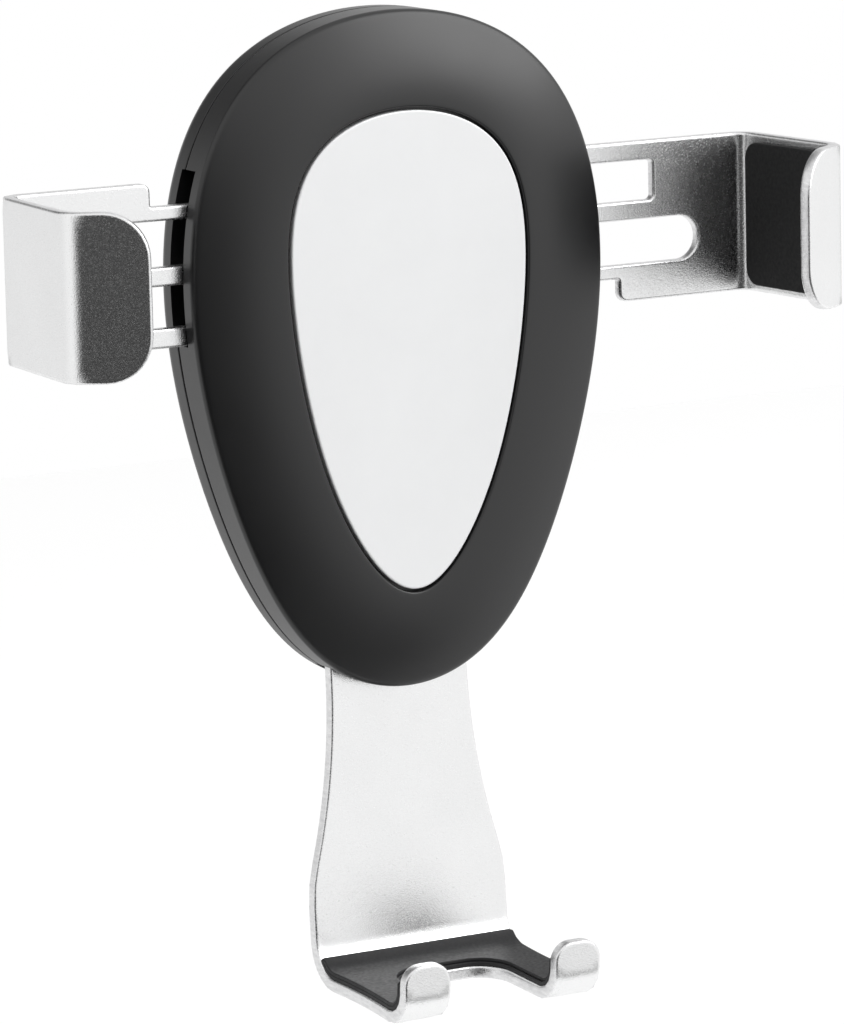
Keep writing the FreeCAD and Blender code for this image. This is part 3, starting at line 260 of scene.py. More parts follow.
def noise(nodes, links, vector, scale, detail=2.0, roughness=0.5):
    """A noise texture on Object coordinates; scale is in features per metre."""
    node = nodes.new("ShaderNodeTexNoise")
    feed(links, node, {"Vector": vector, "Scale": scale, "Detail": detail, "Roughness": roughness})
    return node.outputs["Fac"]


def moulded_skin_group():
    """Spark-eroded moulding skin: fine pits as height, and soft drifts of shade and gloss."""
    group, given, made = new_group(
        "moulded_skin",
        [("Vector", "NodeSocketVector", None), ("Pits per metre", "NodeSocketFloat", 9000.0)],
        [("Height", "NodeSocketFloat"), ("Drift", "NodeSocketFloat"), ("Fine", "NodeSocketFloat")])
    nodes, links = group.nodes, group.links
    place = given.outputs["Vector"]
    pits = noise(nodes, links, place, 1.0, 3.0)
    links.new(given.outputs["Pits per metre"], pits.node.inputs["Scale"])
    links.new(pits, made.inputs["Height"])
    links.new(noise(nodes, links, place, 55.0, 3.0), made.inputs["Drift"])
    links.new(noise(nodes, links, place, 2600.0), made.inputs["Fine"])
    return group


MOULDED_SKIN = moulded_skin_group()


def place_group(nodes, links, group, values):
    """Put a node group in a material and set or link its inputs."""
    node = nodes.new("ShaderNodeGroup")
    node.node_tree = group
    feed(links, node, values)
    return node


def start_material(name):
    """A material with its Principled shader and Object coordinates."""
    material = bpy.data.materials.new(name)
    material.use_nodes = True
    nodes, links = material.node_tree.nodes, material.node_tree.links
    shader = nodes["Principled BSDF"]
    place = nodes.new("ShaderNodeTexCoord")
    return material, nodes, links, shader, place.outputs["Object"]


def spread(nodes, links, value, low, high, from_low=0.3, from_high=0.7):
    """Map a mask from one range to another; gives the result socket."""
    node = nodes.new("ShaderNodeMapRange")
    feed(links, node, {"Value": value, "From Min": from_low, "From Max": from_high, "To Min": low, "To Max": high})
    return node.outputs["Result"]


def blend_colours(nodes, links, mask, first, second):
    """Mix two colours by a mask; gives the colour socket."""
    node = nodes.new("ShaderNodeMix")
    node.data_type = "RGBA"
    feed(links, node, {"Factor": mask, "A": (*first, 1), "B": (*second, 1)})
    return node.outputs["Result"]


def add_bump(nodes, links, shader, height, distance):
    """Turn a height mask into the shader's normal; distance is in metres."""
    bump = nodes.new("ShaderNodeBump")
    feed(links, bump, {"Strength": 1.0, "Distance": distance, "Height": height})
    links.new(bump.outputs["Normal"], shader.inputs["Normal"])


def moulded_plastic(name, dark, light, gloss_low, gloss_high):
    """Satin moulded plastic: colour and roughness drift slightly, and fine pits break up the gloss."""
    material, nodes, links, shader, place = start_material(name)
    skin = place_group(nodes, links, MOULDED_SKIN, {"Vector": place, "Pits per metre": 7000.0})
    colour = blend_colours(nodes, links, skin.outputs["Drift"], dark, light)
    fine = maths(nodes, links, "MULTIPLY", skin.outputs["Fine"], 0.25)
    rough = maths(nodes, links, "ADD", skin.outputs["Drift"], fine)
    gloss = spread(nodes, links, rough, gloss_low, gloss_high, 0.35, 0.85)
    feed(links, shader, {"Base Color": colour, "Roughness": gloss, "IOR": 1.58})
    add_bump(nodes, links, shader, skin.outputs["Height"], 0.003 * MM)
    return material


housing_black = moulded_plastic("housing_black", (0.004, 0.004, 0.0045), (0.006, 0.006, 0.0065), 0.30, 0.39)
front_cover.data.materials.append(housing_black)
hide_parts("front_cover")
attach(front_cover, "housing")


# Rear cover: the back half of the housing in the same black plastic. Its rounded back flattens
# round a threaded tube, whose bore holds the ball, and four screws sink into it.

REAR_EDGE_Y = 8.5
REAR_FACE_Y = 12.0
REAR_INSET = 6.0
GROOVE = 0.25
BALL_Y = 18.5
SOCKET_RADIUS = 7.0
BORE_CHAMFER = 0.2
TUBE_RADIUS = 8.7
TUBE_CHAMFER = 0.45
TUBE_END_Y = 20.3
THREAD_PITCH = 1.5
THREAD_DEPTH = 0.38
SCREW_PLACES = ((15.6, 25.2), (-15.6, 25.2), (11.6, -26.3), (-11.6, -26.3))
SCREW_SEAT_Y = 9.3
SCREW_RECESS_RADIUS = 2.05
SCREW_RECESS_SIDES = 40


def circle(radius):
    """A circle as x = r sin t, z = r cos t, so its points match the egg's."""
    return radius * np.stack([np.sin(AROUND), np.cos(AROUND)], 1)


def rear_cover_rows():
    """Socket floor, bore, threaded tube, flat back, rounded edge, wall, seam groove, then the inside.

    The edge is a quarter ellipse, and the thread's radius dips where height over pitch plus the share of a turn
    is near a half."""
    rows = [(circle(SOCKET_RADIUS * math.sin(a)), BALL_Y - SOCKET_RADIUS * math.cos(a))
            for a in np.linspace(0.06, np.pi / 2, 12)]
    rows += [(circle(SOCKET_RADIUS), TUBE_END_Y - BORE_CHAMFER), (circle(SOCKET_RADIUS + BORE_CHAMFER), TUBE_END_Y)]
    rows += [(circle(TUBE_RADIUS - TUBE_CHAMFER), TUBE_END_Y)]
    for y in np.linspace(TUBE_END_Y - 0.4, REAR_FACE_Y + 0.9, 44):
        turn = (y / THREAD_PITCH + AROUND / (2 * np.pi)) % 1.0
        crest = np.clip(2.2 * np.abs(turn - 0.5), 0, 1)
        radius = TUBE_RADIUS - THREAD_DEPTH * (1 - crest)
        rows.append((circle(1.0) * radius[:, None], y))
    rows += [(circle(TUBE_RADIUS + out), REAR_FACE_Y + y) for out, y in bend_round((0, 0.7), (0, 0), (0.8, 0), 4)]
    flat = rim_out(-REAR_INSET)
    rows += [(circle(TUBE_RADIUS + 0.9) * (1 - s) + flat * s, REAR_FACE_Y) for s in np.linspace(0.0, 1.0, 8)]
    rows += [(rim_out(-REAR_INSET * (1 - math.cos(a))), REAR_EDGE_Y + (REAR_FACE_Y - REAR_EDGE_Y) * math.sin(a))
             for a in np.linspace(np.pi / 2 - 0.05, 0.03, 22)]
    groove_y = SEAM_Y + GROOVE
    rows += [(rim_out(0), y) for y in (REAR_EDGE_Y, groove_y + SEAM_ROUND + 0.05)]
    groove_edge = bend_round((0, groove_y + SEAM_ROUND), (0, groove_y), (SEAM_ROUND, groove_y), 3)
    rows += [(rim_out(-inset), y) for inset, y in groove_edge]
    rows += [(rim_out(-GROOVE), y) for y in (groove_y, SEAM_Y + 0.02)]
    rows += [(rim_out(-WALL), y) for y in (SEAM_Y + 0.02, REAR_EDGE_Y)]
    rows += [(rim_out(-REAR_INSET - 1.5) * share, REAR_FACE_Y - WALL) for share in (1.0, 0.3)]
    return rows


def screw_recesses(name):
    """Cutter of four cylinders for the screw heads: each a ring at its seat, and one past the housing's back."""
    count = SCREW_RECESS_SIDES
    turn = np.linspace(0, 2 * np.pi, count, endpoint=False)
    ring = SCREW_RECESS_RADIUS * np.stack([np.sin(turn), np.cos(turn)], 1)
    points, faces = [], []
    for index, (x, z) in enumerate(SCREW_PLACES):
        points += [np.column_stack([ring[:, 0] + x, np.full(count, y), ring[:, 1] + z])
                   for y in (SCREW_SEAT_Y, REAR_FACE_Y + 1)]
        seat = np.arange(count) + index * 2 * count
        faces += band_faces(2, count, index * 2 * count).tolist() + [seat[::-1].tolist(), (seat + count).tolist()]
    return mesh_piece(name, np.concatenate(points), faces)


rear_cover = turned_shell("rear_cover_skin", rear_cover_rows())
cut_away(rear_cover, wall_openings("rear_openings"))
cut_away(rear_cover, screw_recesses("screw_openings"))
rear_cover.data.materials.append(housing_black)
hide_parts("rear_cover")
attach(rear_cover, "housing")


# Face plate: a thin silver-white egg with a very fine satin finish and a small rounded edge,
# glued into the front pocket. The phone's back rests against it.

PLATE_ROUND = 0.2
PLATE_BACK_Y = FACE_THICKNESS - 0.02


def face_plate_rows():
    """Front face, rounded edge, side and back of the plate."""
    outline = egg(AROUND, **FACE)
    rounding = bend_round((PLATE_ROUND, 0.0), (0.0, 0.0), (0.0, PLATE_ROUND), 4)
    rows = [(outline * share, 0.0) for share in (0.3, 0.7, 0.95)]
    rows += [(egg(AROUND, out=-PLATE_ROUND - 0.02, **FACE), 0.0)]
    rows += [(egg(AROUND, out=-inset, **FACE), y) for inset, y in rounding]
    rows += [(outline, PLATE_ROUND + 0.05), (outline, PLATE_BACK_Y), (outline * 0.9, PLATE_BACK_Y)]
    return rows


def satin_plate():
    """Silver-white satin: faint clouds in shade and a fine sparkle in gloss."""
    material, nodes, links, shader, place = start_material("face_plate_satin")
    cloud = noise(nodes, links, place, 140.0, 5.0, 0.6)
    sparkle = noise(nodes, links, place, 5200.0, 2.0)
    colour = blend_colours(nodes, links, cloud, (0.87, 0.875, 0.88), (0.92, 0.925, 0.93))
    gloss = spread(nodes, links, sparkle, 0.38, 0.60)
    feed(links, shader, {"Base Color": colour, "Roughness": gloss, "Metallic": 0.35})
    add_bump(nodes, links, shader, sparkle, 0.006 * MM)
    return material


face_plate = turned_shell("face_plate_skin", face_plate_rows())
face_plate.data.materials.append(satin_plate())
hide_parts("face_plate")
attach(face_plate, "housing")


# Cover screws: four small recessed self-tapping screws, dark zinc plated steel with a cross
# recess, sunk in the rear cover.

def plated_steel(name, dark, light, low, high):
    """Plated steel: fine streaky gloss and small drifts in tone."""
    material, nodes, links, shader, place = start_material(name)
    streak = noise(nodes, links, place, 2400.0, 3.0)
    drift = noise(nodes, links, place, 400.0, 2.0)
    colour = blend_colours(nodes, links, drift, dark, light)
    gloss = spread(nodes, links, streak, low, high)
    feed(links, shader, {"Base Color": colour, "Roughness": gloss, "Metallic": 1.0})
    add_bump(nodes, links, shader, streak, 0.004 * MM)
    return material


def dress(node, material):
    """Give a CAD node its finish."""
    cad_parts[node].data.materials.clear()
    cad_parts[node].data.materials.append(material)


dress("cover_screws", plated_steel("dark_zinc", (0.16, 0.16, 0.17), (0.26, 0.26, 0.27), 0.28, 0.45))


# Side arms: one stamping of aluminium sheet, used twice, the second turned half a turn. The blank
# has a web with two slots and three prongs; it is blasted to a fine bright grain and bent into a
# flange and a hook. Its sheared edges stay rougher and brighter than its faces.

SHEET = 1.25
ARM_FRONT_Y = 4.38
ARM_CORNERS_Y = ARM_FRONT_Y + SHEET / 2
FLANGE_LEAN = math.radians(3.76)
FLANGE_LENGTH = 17.7
HOOK_ANGLE = math.radians(30.5)
HOOK_LENGTH = 8.57
ARM_BENDS = (1.3 + SHEET / 2, 2.0 + SHEET / 2)
EDGE_ROUND = 0.26
SHEET_CREASE_ANGLE = 50.0
CORNER_ARC_POINTS = 7
LONGEST_SIDE = 1.5
TOP_PRONG = (6.80, 9.00)
MIDDLE_PRONG = (0.15, 2.27)
LOW_PRONG = (-6.43, -4.84)
TOP_PRONG_TIP = 6.6
MIDDLE_PRONG_TIP = -3.8
LOW_PRONG_TIP = 2.0
UPPER_SLOT_END = 33.9
LOWER_SLOT_END = 39.7
WEB_START = 29.3
PIN_BOSS = (14.55, 20.55)
PIN_BOSS_TOP = 4.6
FINGERTIP_RADIUS = 5.0
SMALL_RADIUS = 0.6
LOWER_SLOT_RADIUS = 2.49


def path_stations(corners, radii):
    """Where each straight run and arc of a rounded path starts, its heading and its turn, by length along it."""
    corners = [np.array(c, float) for c in corners]
    stations = []
    cursor, length = corners[0], 0.0
    heading = corners[1] - corners[0]
    heading /= np.linalg.norm(heading)
    for corner, following, radius in zip(corners[1:-1], corners[2:], radii):
        after = following - corner
        after /= np.linalg.norm(after)
        turn = math.atan2(heading[0] * after[1] - heading[1] * after[0], heading @ after)
        tangent = radius * math.tan(abs(turn) / 2)
        start = corner - heading * tangent
        stations.append((length, cursor, heading, 0.0))
        length += float(np.linalg.norm(start - cursor))
        stations.append((length, start, heading, math.copysign(1 / radius, turn)))
        length += abs(turn) * radius
        cursor, heading = corner + after * tangent, after
    stations.append((length, cursor, heading, 0.0))
    length += float(np.linalg.norm(corners[-1] - cursor))
    return stations, length


def along_path(stations, s, aside):
    """Points at length s along a rounded path, moved aside to its left: straight or circular by station."""
    place = np.zeros((len(s), 2))
    for index, (start, origin, heading, curve) in enumerate(stations):
        end = stations[index + 1][0] if index + 1 < len(stations) else np.inf
        here = (s >= start) & (s < end) if index else s < end
        run = s[here] - start
        left = np.array([-heading[1], heading[0]])
        if curve == 0.0:
            place[here] = origin + run[:, None] * heading + aside[here, None] * left
        else:
            angle = run * curve
            centre = origin + left / curve
            spoke = -left[None, :] * np.cos(angle)[:, None] + heading[None, :] * np.sin(angle)[:, None]
            place[here] = centre + spoke * (1 / curve - aside[here])[:, None]
    return place


def rounded_outline(corners, radii):
    """A closed polygon with each corner rounded to its own radius, as an array of points."""
    corners = np.array(corners, float)
    points = []
    for index, radius in enumerate(radii):
        corner = corners[index]
        to_before = corners[index - 1] - corner
        to_after = corners[(index + 1) % len(corners)] - corner
        to_before /= np.linalg.norm(to_before)
        to_after /= np.linalg.norm(to_after)
        half = math.acos(float(np.clip(to_before @ to_after, -1, 1))) / 2
        if radius < 0.02:
            points.append(corner[None, :])
            continue
        reach = radius / math.tan(half)
        middle = (to_before + to_after) / np.linalg.norm(to_before + to_after)
        centre = corner + middle * radius / math.sin(half)
        first, last = corner + to_before * reach - centre, corner + to_after * reach - centre
        sweep = math.atan2(first[0] * last[1] - first[1] * last[0], first @ last)
        count = max(3, int(CORNER_ARC_POINTS * abs(sweep)))
        angle = np.linspace(0, sweep, count)
        points.append(centre + np.stack([first[0] * np.cos(angle) - first[1] * np.sin(angle),
                                         first[0] * np.sin(angle) + first[1] * np.cos(angle)], 1))
    return np.concatenate(points)


def refined(loop):
    """The loop with extra points, so that no side is longer than LONGEST_SIDE."""
    after = np.roll(loop, -1, 0)
    counts = np.maximum(1, np.ceil(np.linalg.norm(after - loop, axis=1) / LONGEST_SIDE).astype(int))
    start = np.repeat(loop, counts, axis=0)
    run = np.repeat(after - loop, counts, axis=0)
    share = (np.arange(counts.sum()) - np.repeat(np.cumsum(counts) - counts, counts)) / np.repeat(counts, counts)
    return start + run * share[:, None]


def shrunk(loop, inset):
    """A loop moved inwards, for a loop that runs anticlockwise, by the mean of its sides' normals."""
    before, after = loop - np.roll(loop, 1, 0), np.roll(loop, -1, 0) - loop
    before /= np.linalg.norm(before, axis=1)[:, None]
    after /= np.linalg.norm(after, axis=1)[:, None]
    mean = before + after
    mean /= np.linalg.norm(mean, axis=1)[:, None]
    lengthen = 1 / np.clip((mean * after).sum(1), 0.5, 1)
    return loop + np.stack([-mean[:, 1], mean[:, 0]], 1) * (inset * lengthen)[:, None]


def inside(points, loop):
    """Which points lie inside a loop, by counting crossings of a ray."""
    count = np.zeros(len(points), int)
    x, y = points[:, 0], points[:, 1]
    for start, end in zip(loop, np.roll(loop, -1, 0)):
        crosses = (start[1] > y) != (end[1] > y)
        with np.errstate(divide="ignore", invalid="ignore"):
            at = start[0] + (y - start[1]) * (end[0] - start[0]) / (end[1] - start[1])
        count += crosses & (x < at)
    return count % 2 == 1


def inside_blank(points, outline, holes):
    """Which points lie inside the outline and outside each hole."""
    found = inside(points, outline)
    for hole in holes:
        found &= ~inside(points, hole)
    return found


def edge_profile(half, rounding):
    """Section of a rim from face to face as (inset, w, how sheared): a quarter circle, the middle, another."""
    quarter = np.linspace(0, np.pi / 2, 4)
    front = [(rounding * (1 - math.sin(a)), rounding * (1 - math.cos(a)) - half, math.sin(a)) for a in quarter]
    back = [(inset, -w, sheared) for inset, w, sheared in front[::-1]]
    return [(rounding * 1.6, -half, 0.0)] + front + [(0.0, 0.0, 1.0)] + back + [(rounding * 1.6, half, 0.0)]


def face_triangles(rims, lattice):
    """Delaunay triangles between the rims of a flat face, with the lattice's points in it, all anticlockwise."""
    flat = np.concatenate(rims + [lattice])
    edges, first = [], 0
    for rim in rims:
        index = np.arange(len(rim)) + first
        edges.append(np.stack([index, np.roll(index, -1)], 1))
        first += len(rim)
    found = delaunay_2d_cdt([Vector(p) for p in flat.tolist()], np.concatenate(edges).tolist(), [], 0, 1e-6)
    triangles = np.array(found[2])
    triangles = triangles[inside_blank(flat[triangles].mean(1), rims[0], rims[1:])]
    a, b, c = (flat[triangles[:, k]] for k in range(3))
    clockwise = np.cross(b - a, c - a) < 0
    triangles[clockwise] = triangles[clockwise][:, ::-1]
    return triangles


def stamped(name, outline, holes, thickness, rounding, stations, shape):
    """A sheet from its flat blank: rounded edges all round and a triangulated face each side, bent by shape(s, h, w).

    s is the length along the blank, with a row of points at each station, h is across it, and w runs from
    -thickness/2 on the front to +thickness/2 on the back. The attribute edge is 1 on the sheared rim."""
    half = thickness / 2
    profile = edge_profile(half, rounding)
    loops = [outline] + [hole[::-1] for hole in holes]
    points, faces, worn, starts, first = [], [], [], [], 0
    for loop in loops:
        starts.append(first)
        for inset, w, sheared in profile:
            points.append(np.column_stack([shrunk(loop, inset), np.full(len(loop), w)]))
            worn.append(np.full(len(loop), sheared))
        faces.append(band_faces(len(profile), len(loop), first))
        first += len(loop) * len(profile)
    low, high = outline[:, 1].min(), outline[:, 1].max()
    across = np.linspace(low, high, max(3, int((high - low) / LONGEST_SIDE)))
    lattice = np.stack(np.meshgrid(stations, across), 2).reshape(-1, 2)
    margin = rounding * 1.6 + 0.12
    lattice = lattice[inside_blank(lattice, shrunk(outline, margin), [shrunk(hole, -margin) for hole in holes])]
    triangles = face_triangles([shrunk(loop, profile[0][0]) for loop in loops], lattice)
    for row, w in ((0, -half), (len(profile) - 1, half)):
        index = [np.arange(len(loop)) + start + row * len(loop) for loop, start in zip(loops, starts)]
        index = np.concatenate(index + [np.arange(len(lattice)) + first])
        points.append(np.column_stack([lattice, np.full(len(lattice), w)]))
        worn.append(np.zeros(len(lattice)))
        first += len(lattice)
        faces.append(index[triangles] if row else index[triangles][:, ::-1])
    blank = np.concatenate(points)
    placed = shape(blank[:, 0], blank[:, 1], blank[:, 2])
    piece = mesh_piece(name, placed, [face for part in faces for face in part.tolist()], SHEET_CREASE_ANGLE)
    edge = piece.data.attributes.new("edge", "FLOAT", "POINT")
    edge.data.foreach_set("value", np.concatenate(worn).astype(np.float32))
    return piece


arm_bend_corner = (45.83 + SHEET / 2, ARM_CORNERS_Y)
arm_knee = (arm_bend_corner[0] + math.sin(FLANGE_LEAN) * FLANGE_LENGTH,
            arm_bend_corner[1] - math.cos(FLANGE_LEAN) * FLANGE_LENGTH)
arm_tip = (arm_knee[0] - math.cos(HOOK_ANGLE) * HOOK_LENGTH, arm_knee[1] - math.sin(HOOK_ANGLE) * HOOK_LENGTH)
arm_stations, arm_length = path_stations([(0.0, ARM_CORNERS_Y), arm_bend_corner, arm_knee, arm_tip], ARM_BENDS)


def arm_outline():
    """The blank's outer edge, anticlockwise: hook, bottom edge, three prongs with their slots, top edge."""
    end, half = arm_length, ARM_HEIGHT / 2
    corners = [(end, -half), (end, half), (TOP_PRONG_TIP, half), (TOP_PRONG_TIP, TOP_PRONG[0]),
               (UPPER_SLOT_END, TOP_PRONG[0]), (UPPER_SLOT_END, MIDDLE_PRONG[1]),
               (PIN_BOSS[1], MIDDLE_PRONG[1]), (PIN_BOSS[1], PIN_BOSS_TOP),
               (PIN_BOSS[0], PIN_BOSS_TOP), (PIN_BOSS[0], MIDDLE_PRONG[1]),
               (MIDDLE_PRONG_TIP, MIDDLE_PRONG[1]), (MIDDLE_PRONG_TIP, MIDDLE_PRONG[0]),
               (LOWER_SLOT_END, MIDDLE_PRONG[0]), (LOWER_SLOT_END, LOW_PRONG[1]),
               (LOW_PRONG_TIP, LOW_PRONG[1]), (LOW_PRONG_TIP, LOW_PRONG[0]),
               (WEB_START, LOW_PRONG[0]), (WEB_START, -half)]
    radii = [FINGERTIP_RADIUS] * 2 + [SMALL_RADIUS] * 4 + [0.0, 1.0, 1.0, 0.0] + [SMALL_RADIUS] * 2
    radii += [LOWER_SLOT_RADIUS] * 2 + [SMALL_RADIUS] * 2 + [0.3, 1.0]
    return refined(rounded_outline(corners, radii))


def right_arm_shape(s, h, w):
    """Carry the blank along the bent path; h is the height from the arm's middle."""
    place = along_path(arm_stations, s, w)
    return np.column_stack([place[:, 0], place[:, 1], h + ARM_MIDDLE_Z])


def half_turned(shape):
    """The same piece turned half a turn about the arms' middle, for the left side."""
    def turned(s, h, w):
        placed = shape(s, h, w)
        return np.column_stack([-placed[:, 0], placed[:, 1], 2 * ARM_MIDDLE_Z - placed[:, 2]])
    return turned


def blasted_group():
    """Bead-blasted aluminium: a fine dimpled height, a sparkle mask and slow clouds."""
    group, given, made = new_group(
        "blasted_grain",
        [("Vector", "NodeSocketVector", None), ("Grains per metre", "NodeSocketFloat", 8000.0)],
        [("Height", "NodeSocketFloat"), ("Sparkle", "NodeSocketFloat"), ("Cloud", "NodeSocketFloat")])
    nodes, links = group.nodes, group.links
    place = given.outputs["Vector"]
    grain = noise(nodes, links, place, 1.0, 3.5, 0.6)
    links.new(given.outputs["Grains per metre"], grain.node.inputs["Scale"])
    links.new(grain, made.inputs["Height"])
    spark = noise(nodes, links, place, 5600.0, 1.0)
    links.new(spread(nodes, links, spark, 0.0, 1.0, 0.35, 0.70), made.inputs["Sparkle"])
    links.new(noise(nodes, links, place, 120.0, 3.0), made.inputs["Cloud"])
    return group


BLASTED = blasted_group()


def blasted_aluminium(name):
    """Bright blasted aluminium; the sheared rim is rougher, streaked across and a little brighter."""
    material, nodes, links, shader, place = start_material(name)
    grain = place_group(nodes, links, BLASTED, {"Vector": place, "Grains per metre": 6500.0})
    rim = nodes.new("ShaderNodeAttribute")
    rim.attribute_name = "edge"
    face_colour = blend_colours(nodes, links, grain.outputs["Cloud"], (0.83, 0.832, 0.834), (0.90, 0.902, 0.904))
    tint = nodes.new("ShaderNodeMix")
    tint.data_type = "RGBA"
    streak = nodes.new("ShaderNodeMapping")
    streak.inputs["Scale"].default_value = (1.0, 0.25, 1.0)
    links.new(place, streak.inputs["Vector"])
    tears = noise(nodes, links, streak.outputs["Vector"], 2600.0, 3.0)
    rim_colour = blend_colours(nodes, links, tears, (0.55, 0.55, 0.56), (0.97, 0.97, 0.97))
    feed(links, tint, {"Factor": rim.outputs["Fac"], "A": face_colour, "B": rim_colour})
    gloss = spread(nodes, links, grain.outputs["Sparkle"], 0.18, 0.28, 0.0, 1.0)
    rough = maths(nodes, links, "ADD", gloss, maths(nodes, links, "MULTIPLY", rim.outputs["Fac"], 0.09))
    feed(links, shader, {"Base Color": tint.outputs["Result"], "Roughness": rough, "Metallic": 1.0})
    torn_rim = maths(nodes, links, "MULTIPLY", maths(nodes, links, "MULTIPLY", tears, rim.outputs["Fac"]), 0.8)
    add_bump(nodes, links, shader, maths(nodes, links, "ADD", grain.outputs["Height"], torn_rim), 0.022 * MM)
    return material


aluminium = blasted_aluminium("blasted_aluminium")


def make_arm(node, shape, rider):
    """Stamp and bend one arm, with close rows of points in its two bends, and dress it."""
    starts = [station[0] for station in arm_stations] + [arm_length]
    bends = [np.linspace(starts[k], starts[k + 1], 15) for k in (1, 3)]
    runs = [np.arange(7.0, starts[1], 3.0), np.arange(starts[2] + 1, starts[3], 2.0),
            np.arange(starts[4] + 1, starts[5], 2.0)]
    arm = stamped(node + "_sheet", arm_outline(), [], SHEET, EDGE_ROUND, np.sort(np.concatenate(bends + runs)), shape)
    arm.data.materials.append(aluminium)
    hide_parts(node)
    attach(arm, rider)


make_arm("right_arm", right_arm_shape, "right_side")
make_arm("left_arm", half_turned(right_arm_shape), "left_side")


# Arm pads: thin sheets of black silicone bonded to the inner face of each arm's flange, which
# grip the phone's sides.

ARM_PAD = 1.0
ARM_PAD_INSET = 0.9
ARM_PAD_CORNER = 2.0
ARM_PAD_ROUND = 0.15
ARM_PAD_START = arm_stations[2][0] + 0.4
ARM_PAD_END = arm_stations[3][0] - 0.15


def arm_pad_outline():
    """A rectangle with rounded corners along the flange."""
    half = ARM_HEIGHT / 2 - ARM_PAD_INSET
    corners = [(ARM_PAD_START, -half), (ARM_PAD_END, -half), (ARM_PAD_END, half), (ARM_PAD_START, half)]
    return refined(rounded_outline(corners, [ARM_PAD_CORNER] * 4))


def right_pad_shape(s, h, w):
    """Carry the pad along the flange's inner side."""
    place = along_path(arm_stations, s, w - SHEET / 2 - ARM_PAD / 2)
    return np.column_stack([place[:, 0], place[:, 1], h + ARM_MIDDLE_Z])


def silicone(name, dark, light, low, high, depth=0.012 * MM):
    """Matt rubber: dusty drifts in shade and a fine grain."""
    material, nodes, links, shader, place = start_material(name)
    skin = place_group(nodes, links, MOULDED_SKIN, {"Vector": place, "Pits per metre": 4200.0})
    colour = blend_colours(nodes, links, skin.outputs["Drift"], dark, light)
    gloss = spread(nodes, links, skin.outputs["Fine"], low, high)
    feed(links, shader, {"Base Color": colour, "Roughness": gloss, "IOR": 1.41})
    add_bump(nodes, links, shader, skin.outputs["Height"], depth)
    return material


pad_rubber = silicone("pad_rubber", (0.008, 0.008, 0.0085), (0.012, 0.012, 0.0125), 0.6, 0.8)


def make_arm_pad(node, shape, rider):
    """One arm's rubber sheet."""
    stations = np.arange(ARM_PAD_START + 1, ARM_PAD_END, 2.0)
    pad = stamped(node + "_rubber", arm_pad_outline(), [], ARM_PAD, ARM_PAD_ROUND, stations, shape)
    pad.data.materials.append(pad_rubber)
    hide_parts(node)
    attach(pad, rider)


make_arm_pad("right_arm_pad", right_pad_shape, "right_side")
make_arm_pad("left_arm_pad", half_turned(right_pad_shape), "left_side")


# Drive pins: two turned steel pins, riveted in the bosses of the arms' middle prongs. Each runs in
# a cam slot of the lower bracket and draws its arm in as the bracket sinks.

steel = plated_steel("pin_steel", (0.52, 0.52, 0.53), (0.66, 0.66, 0.67), 0.22, 0.38)
for node in ("right_drive_pin", "left_drive_pin"):
    dress(node, steel)


# Lower bracket: one stamping of the same blasted aluminium. A shield with two cam slots and a
# guide slot slides behind the arms, a leg flares down to a shelf with a round cable notch, and
# the shelf's two ends turn up as hooks.

BRACKET_SHEET = 1.4
BRACKET_ROUND = 0.26
NECK_HALF = 8.7
FOOT_HALF = 12.3
FLARE_TOP_Z = -36.0
FLARE_RADIUS = 75.0
NOTCH_HALF = 6.6
NOTCH_REACH_Y = -3.1
NOTCH_CORNER = 3.6
WAIST = 0.35
WAIST_POINTS = 17
WAIST_Y = (-13.0, 0.5)
SLIDER_Y = 6.53
LEAN_TOP_Z = -17.0
LEG_LEAN = 0.058
SHELF_SLOPE = 0.05
HOOK_FOOT = (-16.25, -70.3)
HOOK_HEIGHT = 6.35
BRACKET_TOP_Z = 32.125
SHOULDER_S = 31.245
SHIELD = ((0.0, 3.88), (16.87, 20.75), (26.15, 20.75), (SHOULDER_S, 15.655))
SHIELD_CORNER = 1.65
HOOK_CORNER = 2.2
SPRING_X = 12.5
PEG_HALF = 1.0
PEG_HEIGHT = 2.5
CAM_SLOTS = (((17.55, 13.925), (2.55, 28.925)), ((-17.55, 9.175), (-2.55, 24.175)))
CAM_SLOT_HALF = 1.55
GUIDE_SLOT = ((0.0, -13.1), (0.0, 2.1))
GUIDE_SLOT_HALF = 2.1
BRACKET_BENDS = (20.0, 3.75 + BRACKET_SHEET / 2, 2.5 + BRACKET_SHEET / 2)
shelf_z = HOOK_FOOT[1] - SHELF_SLOPE * HOOK_FOOT[0]
ankle_y = (SLIDER_Y + LEG_LEAN * (shelf_z - LEAN_TOP_Z)) / (1 - LEG_LEAN * SHELF_SLOPE)
bracket_stations, bracket_length = path_stations(
    [(SLIDER_Y, BRACKET_TOP_Z), (SLIDER_Y, LEAN_TOP_Z), (ankle_y, shelf_z + SHELF_SLOPE * ankle_y), HOOK_FOOT,
     (HOOK_FOOT[0] - SHELF_SLOPE * HOOK_HEIGHT, HOOK_FOOT[1] + HOOK_HEIGHT)], BRACKET_BENDS)
SHELF_BEND = bracket_stations[3][0]
SHELF_START = bracket_stations[4][0]
SHELF_END = bracket_stations[5][0]
HOOK_START = bracket_stations[6][0]


def leg_s(z):
    """Length down the path at which the leaning leg has this height."""
    return bracket_stations[2][0] + (bracket_stations[2][1][1] - z) * math.hypot(1, LEG_LEAN)


def shelf_s(y):
    """Length down the path at which the sloping shelf has this y."""
    return SHELF_START + (bracket_stations[4][1][0] - y) * math.hypot(1, SHELF_SLOPE)


